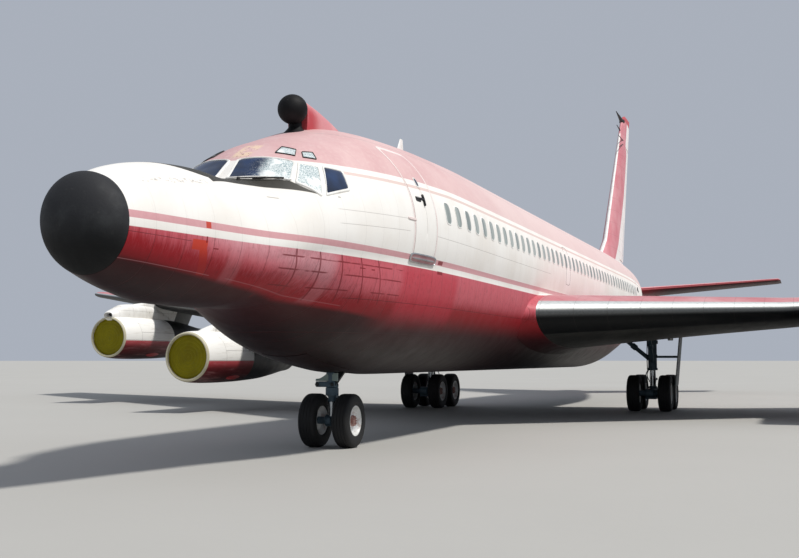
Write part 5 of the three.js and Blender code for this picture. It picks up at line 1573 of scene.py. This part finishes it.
for where, engine in engines.items():
    place = engine["place"]
    cowl = closed(lathed(smoothed(cowl_rows, 90), place, 96, 1), poles=(None, place + (0, 6.1, 0)))
    pylons = [pylon_shell(pylon_levels[where], 0.15, engine)]
    if where == "outboard":
        pylons.append(hump_shell(engine))
        # Painted shade: a black disc stands for the shade inside the scoop.
        scoop = closed(lathed([(0.19, 0.09), (0.2, 0.09)], place + (0, 0, 0.715), 24, 1))
        add_pair("scoop_dark_{}", scoop, black_fitting, "black_radome")
    petals = []
    for a in full_turn(12):
        out = np.array([math.cos(a), 0.0, math.sin(a)])
        petals.append(bar(place + 0.4 * out + (0, 5.55, 0), place + 0.385 * out + (0, 6.03, 0), 0.045, 0.03))
    add_pair(f"cowl_{where}_{{}}", with_fit(cowl, engine), cowl_paint, "white_paint",
             f"engine_pod_{where}_{{}}", 38.0)
    add_pair(f"intake_plug_{where}_{{}}", cover_shell(engine), cover_olive, "cover_olive",
             f"intake_cover_{where}_{{}}")
    add_pair(f"pylon_skin_{where}_{{}}", pylons, pylon_paint, "white_paint", f"pylon_{where}_{{}}", 45.0)
    add_pair(f"oil_blister_{where}_{{}}", blister_shell(engine), blister_red, "red_paint")
    add_pair(f"nozzle_petals_{where}_{{}}", petals, nozzle_metal, "exhaust_metal")


# Nose gear
# A steel leg in its bay: the fixed cylinder with its steering motors on the front, a drag brace behind it,
# and the steered strut with torque links and the axle. Two wheels run on the axle.
leg_paint = plain_finish("leg_paint", "#4a5d69", "#38444a", 0.48, 0.1, 6.0, shine=0.3)
block_paint = plain_finish("block_paint", "#84948f", "#5f6d69", 0.5, 0.1, 6.0, shine=0.3)
bright_piston = plain_finish("bright_piston", "#b4b8ba", "#8d9193", 0.22, 0.9, 8.0, 0.0005)
dark_steel = plain_finish("dark_steel", "#26292b", "#3b3f41", 0.5, 0.4, 7.0)


def rounded_block(low, high, edge=0.02, steps=5):
    """A block with round edges: points spread over a cube's sides are drawn into the block that is smaller by
    edge all round, and stand off it by edge along the line to where they were."""
    low, high = np.asarray(low, float), np.asarray(high, float)
    centre, half = (low + high) / 2, (high - low) / 2
    soft = min(edge, 0.45 * half.min())
    line = np.concatenate([[-1.0], -1 + 0.5 * (1 - np.cos(np.linspace(0, math.pi / 2, steps)))[1:] * 0.35])
    line = np.unique(np.concatenate([line, -line]))
    u, v = np.meshgrid(line, line, indexing="ij")
    n = len(line)
    points, faces = [], []
    index = np.arange(n * n).reshape(n, n)
    quad = np.stack([index[:-1, :-1], index[1:, :-1], index[1:, 1:], index[:-1, 1:]], -1).reshape(-1, 4)
    for axis in range(3):
        for sign in (1, -1):
            parts = [None, None, None]
            parts[axis], parts[(axis + 1) % 3], parts[(axis + 2) % 3] = sign + 0 * u, u, v
            points.append(np.stack(parts, -1).reshape(-1, 3))
            faces.append((quad if sign > 0 else quad[:, ::-1]) + n * n * (len(points) - 1))
    cube = np.concatenate(points)
    wide = cube * half
    core = np.clip(wide, -(half - soft), half - soft)
    corner = np.where(np.abs(cube) > 0.99, np.sign(cube), (wide - core + 1e-12) / soft)
    return {"points": centre + core + unit(corner) * soft, "faces": [np.concatenate(faces)],
            "fit": None, "paint": 0}


def plate(outline, low, high, edge=0.008, across=0):
    """A side-view outline of (y, z) corners, spread from low to high along x, with its rims turned in."""
    outline = np.asarray(outline, float)
    ahead, behind = np.roll(outline, -1, 0) - outline, outline - np.roll(outline, 1, 0)
    normal = unit((unit(ahead) + unit(behind))[:, ::-1] * (1, -1))
    area = np.sum(outline[:, 0] * np.roll(outline[:, 1], -1) - outline[:, 1] * np.roll(outline[:, 0], -1))
    inset = outline - normal * edge * np.sign(area)
    rings = [(low, inset), (low + edge, outline), (high - edge, outline), (high, inset)]
    grid = np.stack([np.concatenate([np.full((len(o), 1), x), o], 1) for x, o in rings])
    return closed(grid, flat_ends=True)


def facing(shell):
    """The same shell with x and y exchanged, so that a side-view outline faces forward."""
    return {**shell, "points": shell["points"][:, [1, 0, 2]], "faces": [f[:, ::-1] for f in shell["faces"]]}


hub_height = 0.448
collar_level = 1.0
gusset = [(-0.27, 1.105), (0.13, 1.105), (0.13, 1.24), (-0.05, 1.24), (-0.12, 1.19), (-0.19, 1.15),
          (-0.27, 1.14)]
cylinder_rows = [(0.0, 0.098), (0.01, 0.108), (0.05, 0.108), (0.06, 0.092), (0.2, 0.092), (0.205, 0.1),
                 (0.235, 0.1), (0.24, 0.092), (0.62, 0.092), (0.63, 0.104), (0.68, 0.104), (0.69, 0.092),
                 (1.0, 0.092)]
leg_shells = [
    bar((0, 0, collar_level + 0.001), (0, 0, 2.049), 0, rows=cylinder_rows, sides=40),
    rounded_block((-0.27, -0.095, 1.004), (0.085, 0.06, 1.1), 0.02),
    painted(facing(plate(gusset, -0.085, -0.045)), 1),
    rounded_block((-0.229, -0.06, 1.7), (0.229, 0.06, 1.82), 0.035),
    rounded_block((-0.09, 0.96, 1.6), (0.09, 1.249, 1.72), 0.03),
    painted(bar((0, 0.05, 1.08), (0, 1.05, 1.65), 0.075, sides=28), 2),
    painted(bar((0, 0.5, 1.325), (0, 0.62, 1.395), 0.095, sides=28), 2),
    *(painted(bar((x, -0.085, 1.05), (x, -0.115, 1.05), 0.032), 2) for x in (-0.235, 0.04)),
]
pipes = [
    pipe([(0.1, -0.02, 1.03), (0.115, -0.03, 1.25), (0.112, 0.0, 1.55), (0.11, 0.02, 2.04)], 0.011),
    pipe([(0.085, -0.06, 1.03), (0.1, -0.07, 1.2), (0.095, -0.05, 1.6), (0.09, -0.03, 2.04)], 0.009),
    pipe([(-0.1, 0.05, 1.24), (-0.13, 0.16, 1.33), (-0.1, 0.1, 1.5), (-0.1, 0.04, 2.04)], 0.01),
    pipe([(0.07, 0.12, 1.14), (0.085, 0.4, 1.31), (0.08, 0.8, 1.54), (0.07, 1.0, 1.66)], 0.01),
]
add_piece("nose_leg_cylinder", leg_shells, [leg_paint, block_paint, dark_steel], "gear_grey", "nose_leg")
add_piece("nose_leg_pipes", pipes, dark_steel, "gear_grey")
strut_rows = [(0.0, 0.068), (0.72, 0.068), (0.725, 0.082), (0.75, 0.082), (0.755, 0.11), (0.985, 0.11),
              (1.0, 0.1)]
link_low = [(0.1, 0.56), (0.135, 0.565), (0.3, 0.72), (0.31, 0.76), (0.275, 0.765), (0.05, 0.64),
            (0.04, 0.57)]
link_high = [(0.1, 0.955), (0.135, 0.95), (0.31, 0.76), (0.3, 0.715), (0.26, 0.72), (0.05, 0.86),
             (0.04, 0.95)]
steering_shells = [
    painted(bar((0, 0, hub_height), (0, 0, 0.76), 0, rows=[(0.0, 0.07), (1.0, 0.07)], sides=36), 1),
    bar((0, 0, hub_height), (0, 0, 0.999), 0, rows=strut_rows, sides=40),
    bar((-0.12, 0, hub_height), (0.12, 0, hub_height), 0.1, sides=36, soft=0.25),
    plate(link_low, -0.045, 0.045), plate(link_high, -0.03, 0.03),
    bar((-0.06, 0.295, 0.74), (0.06, 0.295, 0.74), 0.028),
    bar((-0.065, 0.1, 0.6), (0.065, 0.1, 0.6), 0.035), bar((-0.065, 0.1, 0.91), (0.065, 0.1, 0.91), 0.035),
    rounded_block((-0.045, -0.185, 0.4), (0.045, 0.0, 0.5), 0.012),
    bar((-0.06, -0.14, 0.45), (0.06, -0.14, 0.45), 0.022),
]
add_piece("nose_strut_steered", steering_shells, [leg_paint, bright_piston], "gear_grey", "nose_steering",
          body="nose_strut")


# Wheels
# Twin tyres with worn ribs on dished rims: white paint, a bolted flange and a rust-stained hub with its cap.
tyre_rows = np.array([
    (-0.6, 0.52), (-0.8, 0.545), (-0.93, 0.62), (-1.0, 0.74), (-0.985, 0.83), (-0.93, 0.905), (-0.83, 0.957),
    (-0.72, 0.984), (-0.6, 0.994), (-0.565, 0.996), (-0.56, 0.978), (-0.52, 0.978), (-0.515, 0.998),
    (-0.21, 1.0), (-0.205, 0.98), (-0.165, 0.98), (-0.16, 1.0),
])
tyre_rows = np.concatenate([tyre_rows, tyre_rows[::-1] * (-1, 1)])
# Columns: share of half width out from the wheel's middle, share of the tyre's radius. Outer face of the rim.
rim_rows = np.array([
    (0.55, 0.5), (0.78, 0.545), (0.84, 0.565), (0.865, 0.56), (0.86, 0.535), (0.74, 0.515), (0.66, 0.485),
    (0.46, 0.43), (0.36, 0.36), (0.33, 0.28), (0.345, 0.235), (0.42, 0.215),
])
hub_rows = np.array([
    (0.34, 0.215), (0.58, 0.205), (0.64, 0.19), (0.66, 0.15), (0.665, 0.1), (0.74, 0.095), (0.76, 0.08),
])
inner_face = np.array([(-0.3, 0.05), (-0.34, 0.24), (-0.3, 0.36), (-0.62, 0.46), (-0.8, 0.535), (-0.6, 0.53)])
f = Finish("tyre_rubber")
dust = f.over(f.noise(6.0, 5.0, 0.65), 0.45, 0.75)
tone = f.mix(f.both(dust, 0.6), "#0f1012", "#22201e")
tyre_rubber = f.done(tone, f.spread(dust, 0.75, 0.92), f.bump(f.noise(60.0), 0.001))
f = Finish("rim_white")
stain = f.over(f.noise(9.0, 5.0, 0.7), 0.5, 0.66)
tone = f.mottled(0.35, 0.7, "#e2e3e2", "#bfc2c1", 4.0, 4.0)
tone = f.mix(f.both(stain, 0.55), tone, "#9b7f74")
rim_white = f.done(tone, f.spread(stain, 0.4, 0.7), f.bump(f.noise(40.0), 0.001))
rust_brown = plain_finish("rust_brown", "#8a5a50", "#b9a39c", 0.6, 0.2, 14.0)


def shifted(shell, by):
    """The same shell moved by a vector."""
    return {**shell, "points": shell["points"] + by}


def twin_wheels(centre, radius, half_width, half_track, axle_radius):
    """Tyres, rims and hubs of both wheels, and the axle between them, about the axle's middle."""
    scale = (half_width, radius)

    def turned(rows, looped=False):
        """Rows of shares of half width and radius, turned about the axle."""
        return closed(lathed(rows * scale, (half_track, 0, 0), 80, 0), looped=looped)

    def pair(*shells):
        """The shells of the port wheel and their mirror images, moved to the axle."""
        return [shifted(shell, centre) for shell in (*shells, *map(mirror, shells))]

    nut_at = half_track + 0.64 * half_width
    nuts = []
    for a in full_turn(10):
        y, z = 0.155 * radius * math.cos(a), 0.155 * radius * math.sin(a)
        nuts.append(bar((nut_at, y, z), (nut_at + 0.022, y, z), 0.014, sides=8))
    tyres = pair(turned(smoothed(tyre_rows * scale, 150) / scale, looped=True))
    rims = pair(turned(np.concatenate([inner_face, rim_rows, [(0.42, 0.1)]])))
    hubs = pair(turned(np.concatenate([[(0.3, 0.1)], hub_rows])), *nuts)
    axle = bar(centre - (half_track, 0, 0), centre + (half_track, 0, 0), axle_radius, sides=32)
    return tyres, rims, hubs + [painted(axle, 1)]


def add_wheels(name, node, body, centre, **sizes):
    """The three pieces of a wheel pair. The tyres stand for the node."""
    tyres, rims, hubs = twin_wheels(np.array(centre, float), **sizes)
    add_piece(f"{name}_tyres", tyres, tyre_rubber, "tyre_rubber", node, 50.0, body)
    add_piece(f"{name}_rims", rims, rim_white, "rim_paint", body=body)
    add_piece(f"{name}_hubs", hubs, [rust_brown, leg_paint], "rim_paint", body=body)


add_wheels("nose_wheel", "nose_wheels", "nose_wheel_pair", (0, 0, hub_height),
           radius=hub_height, half_width=0.15, half_track=0.3, axle_radius=0.062)


# Nose gear doors
# Two thin doors lie shut under the front of the bay, hinged along their outer edges, in the belly's red.
door_half = 0.38
stations = np.linspace(-1.848, -0.152, 30)[:, None]
door_across = 0.004 + (door_half - 0.006) * np.linspace(0.0, 1.0, 12)
lobe_half = lower_lobe["across"] * faired(hull_rows, stations[:, 0])[:, :1]
keel_angle = np.arcsin(np.clip(door_across / lobe_half, 0, 1))
door_girth = 2 - keel_angle / (math.pi / 2 + crease_lower)
low, high = skin(stations, door_girth, 0.006), skin(stations, door_girth, -0.034)
nose_door = closed(np.concatenate([low, high[:, ::-1]], 1), flat_ends=True)
add_pair("nose_gear_door_{}", nose_door, fuselage_paint, "red_paint", "nose_door_{}")


# Main gear
# Each leg stands under its wing on a beam with two axles. A piston slides in the cylinder, struts brace it
# forwards and inwards into the wing, torque links keep the beam in line, and a flat door hangs outboard.
main = {"track": 3.365, "station": 15.44, "half": 0.65, "hub": 0.51, "top": 2.22, "gland": 1.15}
main_foot = np.array([main["track"], main["station"], 0.0])   # on the ground; the shells below count from it
main_cylinder = [(0.0, 0.128), (0.01, 0.145), (0.06, 0.145), (0.07, 0.125), (0.35, 0.125), (0.355, 0.14),
                 (0.42, 0.14), (0.425, 0.125), (0.7, 0.125), (0.71, 0.16), (0.8, 0.16), (0.81, 0.125),
                 (1.0, 0.125)]
fork_low = [(0.06, 0.7), (0.12, 0.68), (0.36, 0.86), (0.37, 0.91), (0.32, 0.92), (0.05, 0.78)]
fork_high = [(0.08, 1.32), (0.13, 1.3), (0.38, 0.92), (0.36, 0.87), (0.31, 0.88), (0.05, 1.24)]
main_leg = [
    bar((0, 0, main["gland"]), (0, 0, main["top"]), 0, rows=main_cylinder, sides=44),
    painted(bar((0, 0, 0.616), (0, 0, 1.2), 0.088, sides=40, soft=0.05), 1),
    bar((0, 0, 0.617), (0, 0, 0.7), 0.125, sides=36),
    bar((0, -0.06, 1.35), (0, -0.9, 2.4), 0.055, sides=24),
    bar((0, -0.4, 1.775), (0, -0.5, 1.9), 0.078, sides=24),
    bar((-0.06, 0, 1.45), (-1.15, 0, 2.35), 0.06, sides=24),
    bar((-0.45, 0, 1.775), (-0.58, 0, 1.882), 0.085, sides=24),
    rounded_block((0, -0.04, 1.5), (0.7, 0.04, 1.57), 0.02),
    plate(fork_low, -0.06, 0.06),
    plate(fork_high, -0.045, 0.045),
    bar((-0.09, 0.355, 0.895), (0.09, 0.355, 0.895), 0.032),
    bar((-0.08, 0.09, 0.73), (0.08, 0.09, 0.73), 0.04),
    bar((-0.08, 0.1, 1.27), (0.08, 0.1, 1.27), 0.04),
]
main_pipes = [
    pipe([(-0.14, -0.05, 1.16), (-0.15, -0.05, 1.5), (-0.145, -0.03, 1.9), (-0.14, 0, 2.3)], 0.012),
    pipe([(-0.1, 0.12, 1.2), (-0.11, 0.13, 1.6), (-0.1, 0.12, 2.3)], 0.01),
    pipe([(-0.12, -0.08, 1.18), (-0.17, -0.2, 1.0), (-0.12, -0.32, 0.8), (-0.07, -0.45, 0.63)], 0.012),
    pipe([(-0.12, 0.1, 1.18), (-0.19, 0.24, 1.0), (-0.13, 0.36, 0.8), (-0.07, 0.45, 0.63)], 0.012),
]
truck_shells = [
    rounded_block((-0.09, -0.65, 0.405), (0.09, 0.65, 0.615), 0.05),
    *(bar((-0.13, y, main["hub"]), (0.13, y, main["hub"]), 0.125, sides=40)
      for y in (-main["half"], main["half"])),
    bar((-0.115, 0, main["hub"]), (0.115, 0, main["hub"]), 0.1, sides=36),
    *(bar((x, -0.62, 0.36), (x, 0.62, 0.36), 0.022) for x in (-0.135, 0.135)),
    *(rounded_block((-0.15, y - 0.03, 0.34), (0.15, y + 0.03, 0.42), 0.012) for y in (-0.6, 0.0, 0.6)),
]


def main_door_shell():
    """A flat plate that leans in towards the wheels, with stiffening ribs pressed into its inner face."""
    u = np.linspace(0, 1, 30)[:, None]
    v = np.linspace(0, 1, 40)[None, :]
    z = 0.7 + 1.55 * v + 0 * u
    station = -0.42 + 0.75 * u + 0 * v
    lean = 0.64 + 0.15 * v + 0 * u
    rib = np.clip(np.cos(2 * math.pi * 3 * v) * 3 - 2, 0, 1) * np.clip(np.minimum(u, 1 - u) * 12 - 0.6, 0, 1)
    edge = np.clip(np.minimum(np.minimum(u, 1 - u) * 24, np.minimum(v, 1 - v) * 40), 0, 1)
    outer = np.stack([lean + 0.036 + 0.012 * np.sqrt(edge), station, z], -1)
    inner = np.stack([lean + 0.018 - 0.01 * rib * edge, station, z], -1)
    return closed(np.concatenate([outer, inner[:, ::-1]], 1), flat_ends=True)


# Painted shade: the doors' grey is darkened for the wing's shadow over them.
door_paint = plain_finish("door_paint", "#666d6f", "#4b5052", 0.55, shine=0.3)
# Columns: name, shells, finishes, slot, node, greatest angle that is shaded smooth
main_pieces = [
    ("main_leg_cylinder_{}", main_leg, [leg_paint, bright_piston], "gear_grey", "main_leg_{}", 40.0),
    ("main_leg_pipes_{}", main_pipes, dark_steel, "gear_grey", "", 40.0),
    ("main_beam_{}", truck_shells, leg_paint, "gear_grey", "main_truck_{}", 40.0),
    ("main_gear_door_{}", [main_door_shell()], door_paint, "white_paint", "main_door_{}", 30.0),
]
for name, shells, paints, slot, node, smooth_to in main_pieces:
    add_pair(name, [shifted(shell, main_foot) for shell in shells], paints, slot, node, smooth_to)
for side, sign in (("left", 1), ("right", -1)):
    for end, shift in (("front", -main["half"]), ("rear", main["half"])):
        add_wheels(f"main_wheel_{end}_{side}", f"main_wheels_{end}_{side}", f"main_pair_{end}_{side}",
                   main_foot * (sign, 1, 1) + (0, shift, main["hub"]), radius=main["hub"], half_width=0.178,
                   half_track=0.43, axle_radius=0.075)
